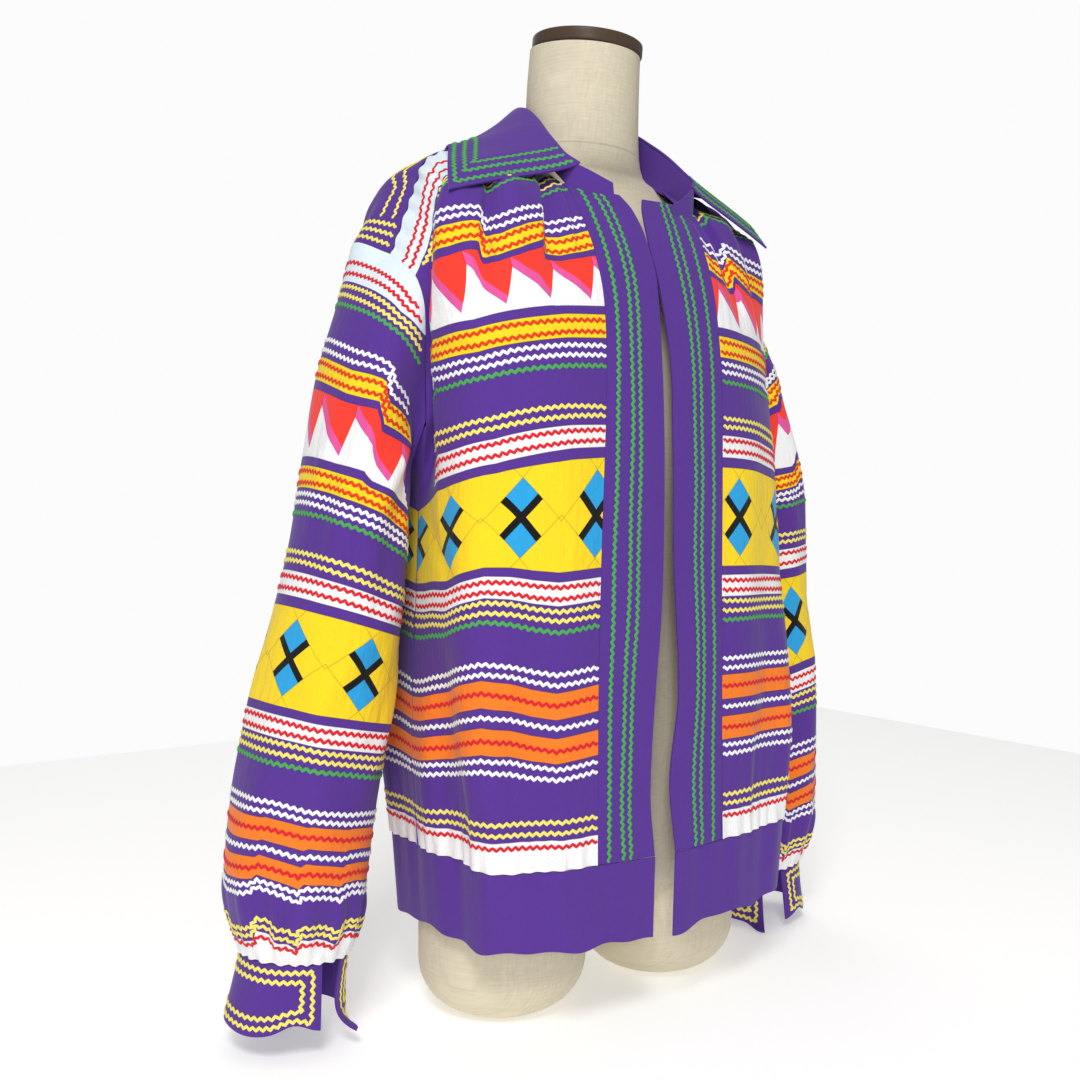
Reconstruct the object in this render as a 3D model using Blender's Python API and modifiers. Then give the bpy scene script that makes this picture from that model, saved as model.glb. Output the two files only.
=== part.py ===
"""Patchwork jacket hanging open on a limbless dress form.

Metres, +Z up. The wearer's front faces -Y and the wearer's left is +X. The dress form
stands on z = 0. Every cloth piece is a lofted surface through a few sections, read at
even steps of cloth, creased by its fold table and given a wall on its inner side.
"""
import math

import bmesh
import bpy
import numpy as np

OBJECT_NAME = "patchwork_jacket"

# Walls and seams
PANEL_WALL = 0.0015
SLEEVE_WALL = 0.0012
BAND_WALL = 0.0018
SEAM_GAP = 0.0005

# Where the stand's axis lies from the middle of the whole object
STAND_SHIFT = (0.0066, 0.0055, 0.0)

# Cut of the jacket
PANEL_HEIGHT = 0.659
WAISTBAND_HEIGHT = 0.069
CUFF_HEIGHT = 0.055
PLACKET_TOP = 0.600
GUSSET_TOP = 0.485
SIDE_SEAM_TOP = 0.343

# Dress form
CAP_THICKNESS = 0.012
CAP_RADIUS = 0.0535
NECK_LEAN = math.radians(7.5)
NECK_TOP = (0.0, -0.0065, 0.8945)
STUMP_RADIUS = 0.0775
STUMP_SPREAD = 0.0905
STUMP_TOP = 0.150
STUMP_FILLET = 0.045

# Half sections of the fronts from the waistband seam up to the shoulder line: the placket
# seam or neckline (x on each side, y, z), the crest beside the armhole crease (x, y, z), the
# side seam or armhole (x, y, z), how deep the crease goes in, and squareness.
FRONT_COLUMNS = ("cloth_height", "near_right", "near_left", "near_y", "near_z", "crest_x", "crest_y",
                 "crest_z", "side_x", "side_y", "side_z", "crease", "squareness")
FRONT_SECTIONS = (
    (0.000, 0.0790, 0.0620, -0.126, 0.152, 0.179, -0.052, 0.156, 0.1835, -0.0004, 0.157, 0.000, 0.80),
    (0.035, 0.0785, 0.0620, -0.127, 0.188, 0.182, -0.052, 0.190, 0.1855, -0.0004, 0.190, 0.000, 0.79),
    (0.083, 0.0780, 0.0620, -0.128, 0.234, 0.185, -0.052, 0.233, 0.1880, -0.0004, 0.233, 0.000, 0.78),
    (0.165, 0.0760, 0.0630, -0.129, 0.314, 0.184, -0.050, 0.310, 0.1850, -0.0004, 0.308, 0.000, 0.76),
    (0.256, 0.0730, 0.0630, -0.131, 0.403, 0.182, -0.048, 0.392, 0.1800, -0.0004, 0.388, 0.000, 0.74),
    (0.343, 0.0700, 0.0630, -0.132, 0.493, 0.184, -0.047, 0.469, 0.1780, -0.0004, 0.452, 0.002, 0.74),
    (0.400, 0.0670, 0.0640, -0.131, 0.550, 0.187, -0.046, 0.529, 0.1800, -0.0100, 0.480, 0.009, 0.74),
    (0.445, 0.0650, 0.0640, -0.128, 0.594, 0.189, -0.0445, 0.581, 0.1830, -0.0220, 0.503, 0.014, 0.74),
    (0.485, 0.0640, 0.0640, -0.123, 0.634, 0.1905, -0.044, 0.620, 0.1860, -0.0310, 0.528, 0.016, 0.74),
    (0.528, 0.0680, 0.0620, -0.114, 0.678, 0.1905, -0.0435, 0.6615, 0.1865, -0.0320, 0.566, 0.016, 0.76),
    (0.565, 0.0730, 0.0600, -0.101, 0.711, 0.190, -0.043, 0.694, 0.1880, -0.0350, 0.602, 0.015, 0.78),
    (0.592, 0.0750, 0.0580, -0.086, 0.736, 0.189, -0.041, 0.712, 0.1905, -0.0380, 0.628, 0.013, 0.80),
    (0.615, 0.0765, 0.0640, -0.062, 0.757, 0.187, -0.036, 0.727, 0.1945, -0.0340, 0.649, 0.010, 0.84),
    (0.637, 0.0730, 0.0700, -0.030, 0.777, 0.184, -0.020, 0.742, 0.1995, -0.0190, 0.665, 0.005, 0.90),
    (0.659, 0.0660, 0.0660, 0.003, 0.792, 0.176, 0.003, 0.753, 0.2030, 0.0030, 0.678, 0.000, 0.95),
)

# Half sections of the back, the same way: the centre back (x, y, z), crest, side, crease.
BACK_COLUMNS = ("cloth_height", "near_x", "near_y", "near_z", "crest_x", "crest_y", "crest_z",
                "side_x", "side_y", "side_z", "crease", "squareness")
BACK_SECTIONS = (
    (0.000, 0.0, 0.112, 0.155, 0.179, 0.048, 0.156, 0.1835, 0.0004, 0.157, 0.000, 0.80),
    (0.035, 0.0, 0.118, 0.190, 0.181, 0.049, 0.190, 0.1855, 0.0004, 0.190, 0.000, 0.79),
    (0.083, 0.0, 0.122, 0.236, 0.184, 0.050, 0.234, 0.1880, 0.0004, 0.233, 0.000, 0.78),
    (0.165, 0.0, 0.124, 0.318, 0.183, 0.052, 0.312, 0.1850, 0.0004, 0.308, 0.000, 0.76),
    (0.256, 0.0, 0.124, 0.409, 0.181, 0.054, 0.395, 0.1800, 0.0004, 0.388, 0.000, 0.74),
    (0.343, 0.0, 0.124, 0.496, 0.183, 0.058, 0.470, 0.1780, 0.0004, 0.452, 0.001, 0.74),
    (0.400, 0.0, 0.124, 0.553, 0.187, 0.066, 0.525, 0.1800, 0.0120, 0.484, 0.005, 0.74),
    (0.445, 0.0, 0.123, 0.598, 0.190, 0.074, 0.570, 0.1840, 0.0280, 0.511, 0.009, 0.74),
    (0.485, 0.0, 0.120, 0.638, 0.192, 0.080, 0.606, 0.1880, 0.0450, 0.540, 0.011, 0.74),
    (0.528, 0.0, 0.114, 0.680, 0.193, 0.084, 0.647, 0.1900, 0.0580, 0.582, 0.011, 0.76),
    (0.565, 0.0, 0.107, 0.715, 0.194, 0.084, 0.682, 0.1940, 0.0700, 0.622, 0.010, 0.78),
    (0.592, 0.0, 0.099, 0.741, 0.196, 0.078, 0.708, 0.2010, 0.0760, 0.655, 0.008, 0.80),
    (0.615, 0.0, 0.090, 0.763, 0.196, 0.066, 0.726, 0.2110, 0.0700, 0.680, 0.003, 0.84),
    (0.637, 0.0, 0.080, 0.784, 0.189, 0.040, 0.747, 0.2180, 0.0460, 0.694, 0.000, 0.90),
)

# How far the body hangs over to the wearer's left, by cloth height.
SWAY = ((0.000, 0.0055), (0.083, 0.0040), (0.165, 0.0020), (0.256, 0.0000), (0.659, 0.0000))

# Neckline from the shoulder to the centre back.
NECK_SIDE = (0.066, 0.003, 0.792)
NECK_BACK = (0.0, 0.069, 0.804)

# Free edges of the front bands.
EDGE_COLUMNS = ("cloth_height", "right_x", "left_x", "y", "z")
EDGE_SECTIONS = (
    (0.000, -0.0180, 0.0050, -0.1285, 0.150),
    (0.060, -0.0240, -0.0010, -0.1300, 0.210),
    (0.140, -0.0170, 0.0090, -0.1315, 0.289),
    (0.220, -0.0100, 0.0070, -0.1335, 0.368),
    (0.300, -0.0070, 0.0030, -0.1350, 0.448),
    (0.400, -0.0080, 0.0030, -0.1345, 0.550),
    (0.500, -0.0060, -0.0030, -0.1235, 0.650),
    (0.550, -0.0100, -0.0065, -0.1110, 0.697),
    (0.580, -0.0170, -0.0055, -0.1020, 0.722),
    (0.602, -0.0290, -0.0020, -0.0970, 0.736),
)

# Rings of a sleeve below the armhole: centre (x outwards, y, z), rise of the outer side,
# fall of the front, drop of the inner side, half-widths outwards and forwards, and how far
# the left sleeve hangs closer to the body.
SLEEVE_COLUMNS = ("cloth_height", "centre_x", "centre_y", "centre_z", "rise", "fall", "drop", "drop_power",
                  "half_out", "half_fore", "inner_square", "left_closer", "left_lower")
SLEEVE_RINGS = (
    (0.600, 0.2175, 0.014, 0.6058, 0.025, 0.018, 0.110, 6, 0.0215, 0.0560, 0.45, 0.000, 0.000),
    (0.540, 0.2265, 0.015, 0.5487, 0.019, 0.017, 0.078, 8, 0.0320, 0.0610, 0.55, 0.000, 0.000),
    (0.473, 0.2335, 0.015, 0.4790, 0.020, 0.006, 0.040, 10, 0.0390, 0.0640, 0.70, 0.001, 0.000),
    (0.400, 0.2390, 0.017, 0.4120, 0.019, 0.003, 0.012, 10, 0.0445, 0.0640, 0.85, 0.002, 0.000),
    (0.343, 0.2460, 0.019, 0.3580, 0.016, 0.001, 0.000, 10, 0.0505, 0.0630, 1.00, 0.003, 0.002),
    (0.256, 0.2575, 0.023, 0.2810, 0.013, 0.000, 0.000, 10, 0.0550, 0.0620, 1.00, 0.004, 0.005),
    (0.165, 0.2710, 0.028, 0.2020, 0.013, 0.000, 0.000, 10, 0.0575, 0.0620, 1.00, 0.007, 0.008),
    (0.083, 0.2790, 0.031, 0.1320, 0.010, 0.000, 0.000, 10, 0.0585, 0.0610, 1.00, 0.013, 0.011),
    (0.030, 0.2800, 0.032, 0.0930, 0.008, 0.000, 0.000, 10, 0.0545, 0.0560, 1.00, 0.017, 0.013),
    (0.000, 0.2800, 0.032, 0.0780, 0.005, 0.000, 0.000, 10, 0.0460, 0.0470, 1.00, 0.018, 0.0135),
)
GUSSET_FRONT_SHARE = 0.40
GUSSET_BACK_SHARE = 0.60
SLEEVE_NOTCH = 0.590
ARMHOLE_STEP = 0.0030

# Folds: where the crease runs across the panel (share of its width) at its lower and
# upper end, its reach in cloth height, depth (a ridge is negative) and half-width.
FOLD_COLUMNS = ("share_low", "share_high", "height_low", "height_high", "depth", "half_width")
FRONT_FOLDS = (
    (0.170, 0.080, 0.470, 0.650, 0.0070, 0.0110),
    (0.430, 0.340, 0.460, 0.650, 0.0080, 0.0120),
    (0.690, 0.600, 0.480, 0.650, 0.0070, 0.0120),
    (0.300, 0.210, 0.480, 0.650, -0.0040, 0.0120),
    (0.560, 0.470, 0.480, 0.650, -0.0045, 0.0120),
    (0.280, 0.330, -0.050, 0.190, 0.0060, 0.0170),
    (0.500, 0.480, -0.050, 0.240, -0.0070, 0.0220),
    (0.680, 0.740, -0.050, 0.200, 0.0080, 0.0190),
    (0.880, 0.860, -0.050, 0.160, -0.0050, 0.0190),
)
BACK_FOLDS = (
    (0.140, 0.120, 0.480, 0.640, 0.0050, 0.0140),
    (0.330, 0.260, 0.500, 0.640, -0.0040, 0.0160),
    (0.500, 0.420, 0.420, 0.630, 0.0050, 0.0170),
    (0.180, 0.220, -0.050, 0.220, 0.0070, 0.0190),
    (0.380, 0.400, -0.050, 0.260, -0.0070, 0.0230),
    (0.600, 0.560, -0.050, 0.180, 0.0075, 0.0190),
    (0.800, 0.780, -0.050, 0.210, -0.0060, 0.0200),
)
SLEEVE_FOLDS = (
    (0.130, 0.180, 0.330, 0.600, 0.0070, 0.0120),
    (0.270, 0.300, 0.280, 0.580, -0.0050, 0.0150),
    (0.820, 0.770, 0.300, 0.600, 0.0070, 0.0140),
    (0.240, 0.140, 0.100, 0.340, 0.0055, 0.0150),
    (0.880, 0.960, 0.080, 0.330, 0.0055, 0.0160),
    (0.080, 0.060, 0.000, 0.110, 0.0050, 0.0100),
    (0.210, 0.220, 0.000, 0.120, 0.0055, 0.0100),
    (0.350, 0.360, 0.000, 0.100, 0.0050, 0.0100),
    (0.620, 0.600, 0.000, 0.110, 0.0050, 0.0110),
    (0.800, 0.780, 0.000, 0.120, 0.0055, 0.0110),
)

# Neckband and collar stations from a front end to the centre back: neckline (x, y, z),
# height of the band, its lean to the neck, and the collar's outer edge (x, y, z).
COLLAR_COLUMNS = ("neck_x", "neck_y", "neck_z", "rise", "lean", "edge_x", "edge_y", "edge_z")
COLLAR_STATIONS = (
    (0.0580, -0.0900, 0.7440, 0.0230, 0.001, 0.1860, -0.0710, 0.7230),
    (0.0760, -0.0790, 0.7530, 0.0240, 0.003, 0.1800, -0.0560, 0.7430),
    (0.0775, -0.0560, 0.7670, 0.0270, 0.007, 0.1700, -0.0330, 0.7640),
    (0.0730, -0.0260, 0.7830, 0.0320, 0.007, 0.1560, -0.0060, 0.7830),
    (0.0660, 0.0080, 0.7960, 0.0370, 0.004, 0.1370, 0.0360, 0.7910),
    (0.0530, 0.0430, 0.8040, 0.0390, 0.004, 0.1060, 0.0840, 0.7860),
    (0.0285, 0.0635, 0.8075, 0.0390, 0.005, 0.0600, 0.1130, 0.7780),
    (0.0000, 0.0700, 0.8085, 0.0390, 0.007, 0.0000, 0.1210, 0.7760),
)
NECKBAND_TAB = (0.0350, -0.0970, 0.7370, 0.0130, 0.001, 0.0, 0.0, 0.0)
COLLAR_ROLL = 0.007
COLLAR_LIFT = 0.0030

# Rings of the dress form's trunk and neck: half-width, front, back and roundness in plan.
FORM_COLUMNS = ("height", "half_width", "front_y", "back_y", "roundness")
FORM_RINGS = (
    (0.100, 0.1480, -0.074, 0.080, 2.3),
    (0.120, 0.1560, -0.082, 0.090, 2.3),
    (0.160, 0.1600, -0.088, 0.096, 2.3),
    (0.220, 0.1570, -0.090, 0.096, 2.3),
    (0.300, 0.1360, -0.088, 0.084, 2.3),
    (0.370, 0.1200, -0.086, 0.076, 2.3),
    (0.440, 0.1260, -0.094, 0.078, 2.3),
    (0.520, 0.1400, -0.106, 0.086, 2.3),
    (0.580, 0.1470, -0.106, 0.092, 2.4),
    (0.640, 0.1510, -0.090, 0.090, 2.4),
    (0.690, 0.1560, -0.070, 0.080, 2.2),
    (0.723, 0.1590, -0.056, 0.068, 2.0),
    (0.743, 0.1570, -0.046, 0.056, 1.8),
    (0.757, 0.1460, -0.040, 0.048, 1.65),
    (0.767, 0.1240, -0.038, 0.045, 1.6),
    (0.7743, 0.0960, -0.039, 0.046, 1.6),
    (0.780, 0.0708, -0.042, 0.050, 1.8),
    (0.792, 0.0600, -0.046, 0.054, 2.0),
    (0.820, 0.0565, -0.0490, 0.0565, 2.0),
    (0.860, 0.0550, -0.0535, 0.0535, 2.0),
    (0.8952, 0.0535, -0.0590, 0.0460, 2.0),
)

# Cuffs: share of the sleeve where the slit lies and half its width, flare, wave and shift
CUFF_SLIT_SHARE = 0.34
CUFF_SLIT_HALF = 0.022
CUFF_FLARE = 0.0035
CUFF_WAVE = 0.0012
CUFF_CURL = 0.006
CUFF_SHIFT = (0.004, 0.002, 0.0)
CUFF_SLOPE = 0.5
CUFF_INSET = 0.0015
CUFF_SEAM_GAP = 0.0010

# Small clearances and shapes of the bands
PLACKET_INSET = 0.014
PLACKET_BOW = 0.001
WAISTBAND_SMOOTHING = 12
WAISTBAND_TUCK = 0.992
NECK_CENTRE_Y = 0.0
NECKBAND_CLEAR = 0.0030
GUSSET_INSET = 0.035
GUSSET_TUCK = 0.0004
NECK_TILT_FROM = 0.830
STUMP_BACK = 0.0013
CAP_EDGE = 0.002
CAP_GAP = 0.0006

# Number of cells along and across each piece
FRONT_CELLS = (20, 16)
BACK_CELLS = (20, 28)
SLEEVE_CELLS = (16, 22)
SLEEVE_NOTCH_CELLS = 6
PLACKET_CELLS = 2
WAISTBAND_CELLS = (2, 52)
COLLAR_CELLS = (5, 30)
NECKBAND_CELLS = (2, 28)
CUFF_CELLS = (2, 22)
GUSSET_CELLS = 5
FORM_SIDES = 32
FORM_LEVELS = 30
STUMP_SIDES = 28

# Colours (linear RGB)
PURPLE = (0.091, 0.028, 0.274)
YELLOW = (0.93, 0.66, 0.015)
LINEN = (0.68, 0.61, 0.46)
CAP_BROWN = (0.14, 0.105, 0.08)


def column(table, columns, name):
    """One named column of a table as an array."""
    return np.array([row[columns.index(name)] for row in table], dtype=float)


def even_slopes(stations, values):
    """Slopes at the stations for a curve that never swings past its values."""
    gap = np.diff(stations).reshape((-1,) + (1,) * (values.ndim - 1))
    secant = np.diff(values, axis=0) / gap
    before = secant[:-1]
    after = secant[1:]
    first = 2 * gap[1:] + gap[:-1]
    second = gap[1:] + 2 * gap[:-1]
    same = before * after > 0
    safe_before = np.where(same, before, 1.0)
    safe_after = np.where(same, after, 1.0)
    inner = np.where(same, (first + second) / (first / safe_before + second / safe_after), 0.0)
    return np.concatenate((secant[:1], inner, secant[-1:]))


def smooth(stations, values, at):
    """Cubic curve through values at uneven stations, read at `at`."""
    stations = np.asarray(stations, dtype=float)
    values = np.asarray(values, dtype=float)
    at = np.asarray(at, dtype=float)
    slopes = even_slopes(stations, values)
    low = np.clip(np.searchsorted(stations, at, side="right") - 1, 0, len(stations) - 2)
    width = stations[low + 1] - stations[low]
    step = (at - stations[low]) / width
    extra = (1,) * (values.ndim - 1)
    width = width.reshape(width.shape + extra)
    step = step.reshape(step.shape + extra)
    start = (1 + 2 * step) * (1 - step) ** 2 * values[low] + step * (1 - step) ** 2 * width * slopes[low]
    end = step ** 2 * (3 - 2 * step) * values[low + 1] - step ** 2 * (1 - step) * width * slopes[low + 1]
    return start + end


def lengths(points):
    """Distance along a polyline at each of its points."""
    steps = np.linalg.norm(np.diff(points, axis=0), axis=1)
    return np.concatenate(([0.0], np.cumsum(steps)))


def resample(points, shares):
    """Points of a polyline at shares of its length."""
    run = lengths(points)
    return np.stack([np.interp(np.asarray(shares) * run[-1], run, points[:, k]) for k in range(3)], axis=-1)


def unit(vectors):
    """Vectors scaled to length one."""
    return vectors / np.maximum(np.linalg.norm(vectors, axis=-1, keepdims=True), 1e-9)


class Loft:
    """Surface through section curves: `at(height, share)` with share by length along a section."""

    SHARES = np.linspace(0.0, 1.0, 241)

    def __init__(self, heights, sections, outward, top=None):
        self.heights = np.asarray(heights, dtype=float)
        rows = [resample(section, self.SHARES) for section in sections]
        if top is not None:
            rows.append(top)
        self.rows = np.stack(rows)
        self.widths = np.array([lengths(row)[-1] for row in rows])
        self.outward = outward

    def width(self, height):
        return smooth(self.heights, self.widths, height)

    def at(self, height, share):
        place = np.clip(share, 0.0, 1.0) * (len(self.SHARES) - 1)
        low = np.minimum(place.astype(int), len(self.SHARES) - 2)
        part = (place - low)[..., None]
        along = smooth(self.heights, self.rows, height)
        index = np.indices(low.shape)
        flat = along.reshape(low.shape + (len(self.SHARES), 3))
        first = np.take_along_axis(flat, low[..., None, None], axis=-2)[..., 0, :]
        second = np.take_along_axis(flat, (low + 1)[..., None, None], axis=-2)[..., 0, :]
        return first * (1 - part) + second * part

    def normal(self, height, share):
        reach = 0.004
        across = self.at(height, share + reach) - self.at(height, share - reach)
        up = self.at(height + reach, share) - self.at(height - reach, share)
        return unit(np.cross(across, up)) * self.outward

    def creased(self, height, share, folds, out=0.0):
        """The surface moved along its normal by the folds, and outwards by `out`."""
        push = crease_depth(folds, height, share, self.width(height)) + out
        return self.at(height, share) + self.normal(height, share) * push[..., None]


def crease_depth(folds, height, share, width, around=False):
    """Sum of the troughs and ridges: a bell across each crease, fading in and out along it."""
    total = np.zeros_like(share)
    for share_low, share_high, height_low, height_high, depth, half_width in folds:
        run = np.clip((height - height_low) / (height_high - height_low), 0.0, 1.0)
        middle = share_low + (share_high - share_low) * run
        off = share - middle
        if around:
            off = (off + 0.5) % 1.0 - 0.5
        bell = np.exp(-(off * width / half_width) ** 2)
        fade = np.sin(math.pi * run) ** 0.8
        total -= depth * bell * fade
    return total


def quarter(near, side, squareness, count=160):
    """Rounded quarter from `near`, leaving along X, to `side`, arriving along Y and Z."""
    turn = np.linspace(0.0, math.pi / 2, count)
    forth = np.sin(turn) ** squareness
    back = np.cos(turn) ** squareness
    points = np.empty((count, 3))
    points[:, 0] = near[0] + (side[0] - near[0]) * forth
    points[:, 1] = side[1] + (near[1] - side[1]) * back
    points[:, 2] = side[2] + (near[2] - side[2]) * back
    return points


def half_section(near, crest, side, crease, squareness):
    """Half of a section: a rounded quarter to the crest, then the crease and on to the side."""
    front = quarter(near, crest, squareness)
    turn = np.linspace(0.0, 1.0, 60)[:, None]
    rest = np.asarray(crest) * (1 - turn) + np.asarray(side) * turn
    rest[:, 0] -= crease * np.sin(math.pi * turn[:, 0]) ** 1.2
    first = resample(front, np.linspace(0.0, 1.0, 198))
    second = resample(rest, np.linspace(0.0, 1.0, 44))
    return np.concatenate((first[:-1], second))


def sway(heights):
    """Shift along X of the body at the given cloth heights."""
    table = np.array(SWAY)
    return smooth(table[:, 0], table[:, 1], heights)


def front_half(row, side):
    """Half section of one row of the front table; side is -1 or 1."""
    near = (row[1] if side < 0 else row[2], row[3], row[4])
    section = half_section(near, row[5:8], row[8:11], row[11], row[12]) * np.array([side, 1.0, 1.0])
    section[:, 0] += sway(row[0])
    return section


def front_loft(side):
    """Loft of one front panel from its placket seam or neckline to its side; side is -1 or 1."""
    heights = [row[0] for row in FRONT_SECTIONS]
    return Loft(heights, [front_half(row, side) for row in FRONT_SECTIONS], side)


def back_loft():
    """Loft of the whole back from the wearer's right to the left, its top row along the neckline."""
    heights = [row[0] for row in BACK_SECTIONS] + [PANEL_HEIGHT]
    halves = [half_section(row[1:4], row[4:7], row[7:10], row[10], row[11]) for row in BACK_SECTIONS]
    turn = np.linspace(math.pi / 2, 0.0, 60)[:-1]
    neck = np.stack([NECK_SIDE[0] * np.cos(turn),
                     NECK_SIDE[1] + (NECK_BACK[1] - NECK_SIDE[1]) * np.sin(turn),
                     NECK_SIDE[2] + (NECK_BACK[2] - NECK_SIDE[2]) * np.sin(turn)], 1)
    halves.append(np.concatenate((neck, front_half(FRONT_SECTIONS[-1], 1))))
    mirror = np.array([-1.0, 1.0, 1.0])
    whole = [np.concatenate(((half * mirror)[::-1], half[1:])) for half in halves]
    for section, height in zip(whole, heights):
        section[:, 0] += sway(height)
    return Loft(heights, whole, -1.0)


def both_sides(folds):
    """Fold table of a half panel laid out on a whole one, mirrored about its middle."""
    left = [(0.5 + low / 2, 0.5 + high / 2) + tuple(rest) for low, high, *rest in folds]
    right = [(0.5 - low / 2, 0.5 - high / 2) + tuple(rest) for low, high, *rest in folds]
    return tuple(left + right)


def armhole(side):
    """The sleeve's top edge: down the front from the shoulder, across the gusset, up the back."""
    front = np.array([row[8:11] for row in FRONT_SECTIONS if row[0] >= GUSSET_TOP][::-1], dtype=float)
    back = np.array([row[7:10] for row in BACK_SECTIONS if row[0] >= GUSSET_TOP], dtype=float)
    back = np.concatenate((back, front[:1]))
    steps = np.linspace(0.0, 1.0, 61)
    low = resample(smooth_line(front), steps)
    high = resample(smooth_line(back), steps)
    middle = low[-1] + (high[0] - low[-1]) * np.linspace(0.0, 1.0, 31)[:, None]
    points = np.concatenate((low[:-1], middle[:-1], high))
    points[:, 0] += ARMHOLE_STEP
    return points * np.array([side, 1.0, 1.0])


def smooth_line(points):
    """A few points joined by a smooth curve."""
    points = np.asarray(points, dtype=float)
    return smooth(lengths(points), points, np.linspace(0.0, lengths(points)[-1], 90))


def armhole_shares():
    """Share round the sleeve of each point of the armhole curve."""
    front = np.linspace(0.0, GUSSET_FRONT_SHARE, 61)[:-1]
    middle = np.linspace(GUSSET_FRONT_SHARE, GUSSET_BACK_SHARE, 31)[:-1]
    back = np.linspace(GUSSET_BACK_SHARE, 1.0, 61)
    return np.concatenate((front, middle, back))


def sleeve_ring(row, side, count=181):
    """One closed ring of a sleeve, from its outer side round the front and the body side."""
    height, x, y, z, rise, fall, drop, drop_power, half_out, half_fore, square, closer, lower = row
    turn = np.linspace(0.0, 2 * math.pi, count)
    if side > 0:
        x = x - closer
        z = z - lower
    points = np.empty((count, 3))
    points[:, 0] = side * (x + half_out * np.cos(turn))
    power = np.where(np.cos(turn) < 0, square, 1.0)
    points[:, 1] = y - half_fore * np.sign(np.sin(turn)) * np.abs(np.sin(turn)) ** power
    inner = drop * ((1 - np.cos(turn)) / 2) ** drop_power
    points[:, 2] = z + rise * np.cos(turn) - fall * np.sin(turn) - inner
    return points


def sleeve_loft(side):
    """Loft of a sleeve, share 0 on its outer side, 0.25 in front, 0.5 beside the body."""
    rows = SLEEVE_RINGS[::-1]
    sections = [sleeve_ring(row, side) for row in rows]
    top = armhole(side)
    shares = np.linspace(0.0, 1.0, 241)
    top = np.stack([np.interp(shares, armhole_shares(), top[:, k]) for k in range(3)], 1)
    heights = [row[0] for row in rows] + [PANEL_HEIGHT]
    return Loft(heights, sections, side, top)


def sleeve_top(share):
    """Cloth height of the sleeve's top edge: full, with a notch for the gusset."""
    half = (GUSSET_BACK_SHARE - GUSSET_FRONT_SHARE) / 2
    notch = np.clip(1 - np.abs(share - 0.5) / half, 0.0, 1.0)
    return PANEL_HEIGHT - (PANEL_HEIGHT - SLEEVE_NOTCH) * notch


def grid_mesh(name, points, closed=False, flip=False):
    """Mesh of quads over a grid of points; `closed` joins the last column to the first."""
    rows, columns = points.shape[:2]
    index = np.arange(rows * columns).reshape(rows, columns)
    after = np.roll(index, -1, axis=1)
    last = columns if closed else columns - 1
    quads = np.stack([index[:-1, :last], after[:-1, :last], after[1:, :last], index[1:, :last]], -1)
    quads = quads.reshape(-1, 4)
    if flip:
        quads = quads[:, (0, 3, 2, 1)]
    mesh = bpy.data.meshes.new(name)
    mesh.from_pydata(points.reshape(-1, 3).tolist(), [], quads.tolist())
    mesh.update()
    mesh.shade_smooth()
    return mesh


def add_object(name, mesh, material, collection):
    """An object for the mesh, in the collection, with its material."""
    item = bpy.data.objects.new(name, mesh)
    item.location = STAND_SHIFT
    mesh.materials.append(material)
    collection.objects.link(item)
    return item


def cloth(name, points, wall, material, collection, closed=False, flip=False):
    """Cloth wall: the grid is its outer face, and the wall grows inwards."""
    item = add_object(name, grid_mesh(name, points, closed, flip), material, collection)
    solid = item.modifiers.new("wall", "SOLIDIFY")
    solid.thickness = wall
    solid.offset = -1.0
    solid.use_even_offset = False
    solid.use_rim = True
    return item


def fabric(name, colour, roughness=0.85, metallic=0.0):
    """A plain Principled material."""
    material = bpy.data.materials.new(name)
    material.use_nodes = True
    shader = material.node_tree.nodes["Principled BSDF"]
    shader.inputs["Base Color"].default_value = (*colour, 1.0)
    shader.inputs["Roughness"].default_value = roughness
    shader.inputs["Metallic"].default_value = metallic
    return material


def panel_grid(heights, shares):
    """Height and share at each corner of a panel's grid; `shares` holds low and high per row."""
    low, high = shares
    across = np.linspace(0.0, 1.0, FRONT_CELLS[1] + 1)
    return np.repeat(heights[:, None], len(across), 1), low[:, None] + (high - low)[:, None] * across


def front_heights(cells):
    """Cloth heights of the rows of a front's grid."""
    return np.linspace(SEAM_GAP / 2, PANEL_HEIGHT - SEAM_GAP / 2, cells + 1)


def make_front(side, name, collection):
    """One front panel."""
    loft = front_loft(side)
    heights = front_heights(FRONT_CELLS[0])
    inset = SEAM_GAP / 2 / loft.width(heights)
    height, share = panel_grid(heights, (inset, 1 - inset))
    points = loft.creased(height, share, FRONT_FOLDS)
    return cloth(name, points, PANEL_WALL, fabric(name, YELLOW), collection, flip=side < 0)


def make_back(collection):
    """The back in one piece."""
    loft = back_loft()
    heights = np.linspace(SEAM_GAP / 2, PANEL_HEIGHT - SEAM_GAP / 2, BACK_CELLS[0] + 1)
    across = np.linspace(0.0, 1.0, BACK_CELLS[1] + 1)
    inset = (SEAM_GAP / 2 / loft.width(heights))[:, None]
    share = inset + (1 - 2 * inset) * across
    height = np.repeat(heights[:, None], len(across), 1)
    points = loft.creased(height, share, both_sides(BACK_FOLDS))
    return cloth("back", points, PANEL_WALL, fabric("back", YELLOW), collection, flip=True)


def sleeve_point(loft, height, share):
    """The creased surface of a sleeve."""
    push = crease_depth(SLEEVE_FOLDS, height, share, loft.width(height), around=True)
    return loft.at(height, share) + loft.normal(height, share) * push[..., None]


def sleeve_shares(cells, notch_cells):
    """Shares round a sleeve for `cells` columns, some of them across the notch of the gusset."""
    plain = (cells - notch_cells) // 2
    front = np.linspace(0.0, GUSSET_FRONT_SHARE, plain + 1)[:-1]
    notch = np.linspace(GUSSET_FRONT_SHARE, GUSSET_BACK_SHARE, notch_cells + 1)[:-1]
    back = np.linspace(GUSSET_BACK_SHARE, 1.0, plain + 1)[:-1]
    return np.concatenate((front, notch, back))


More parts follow.
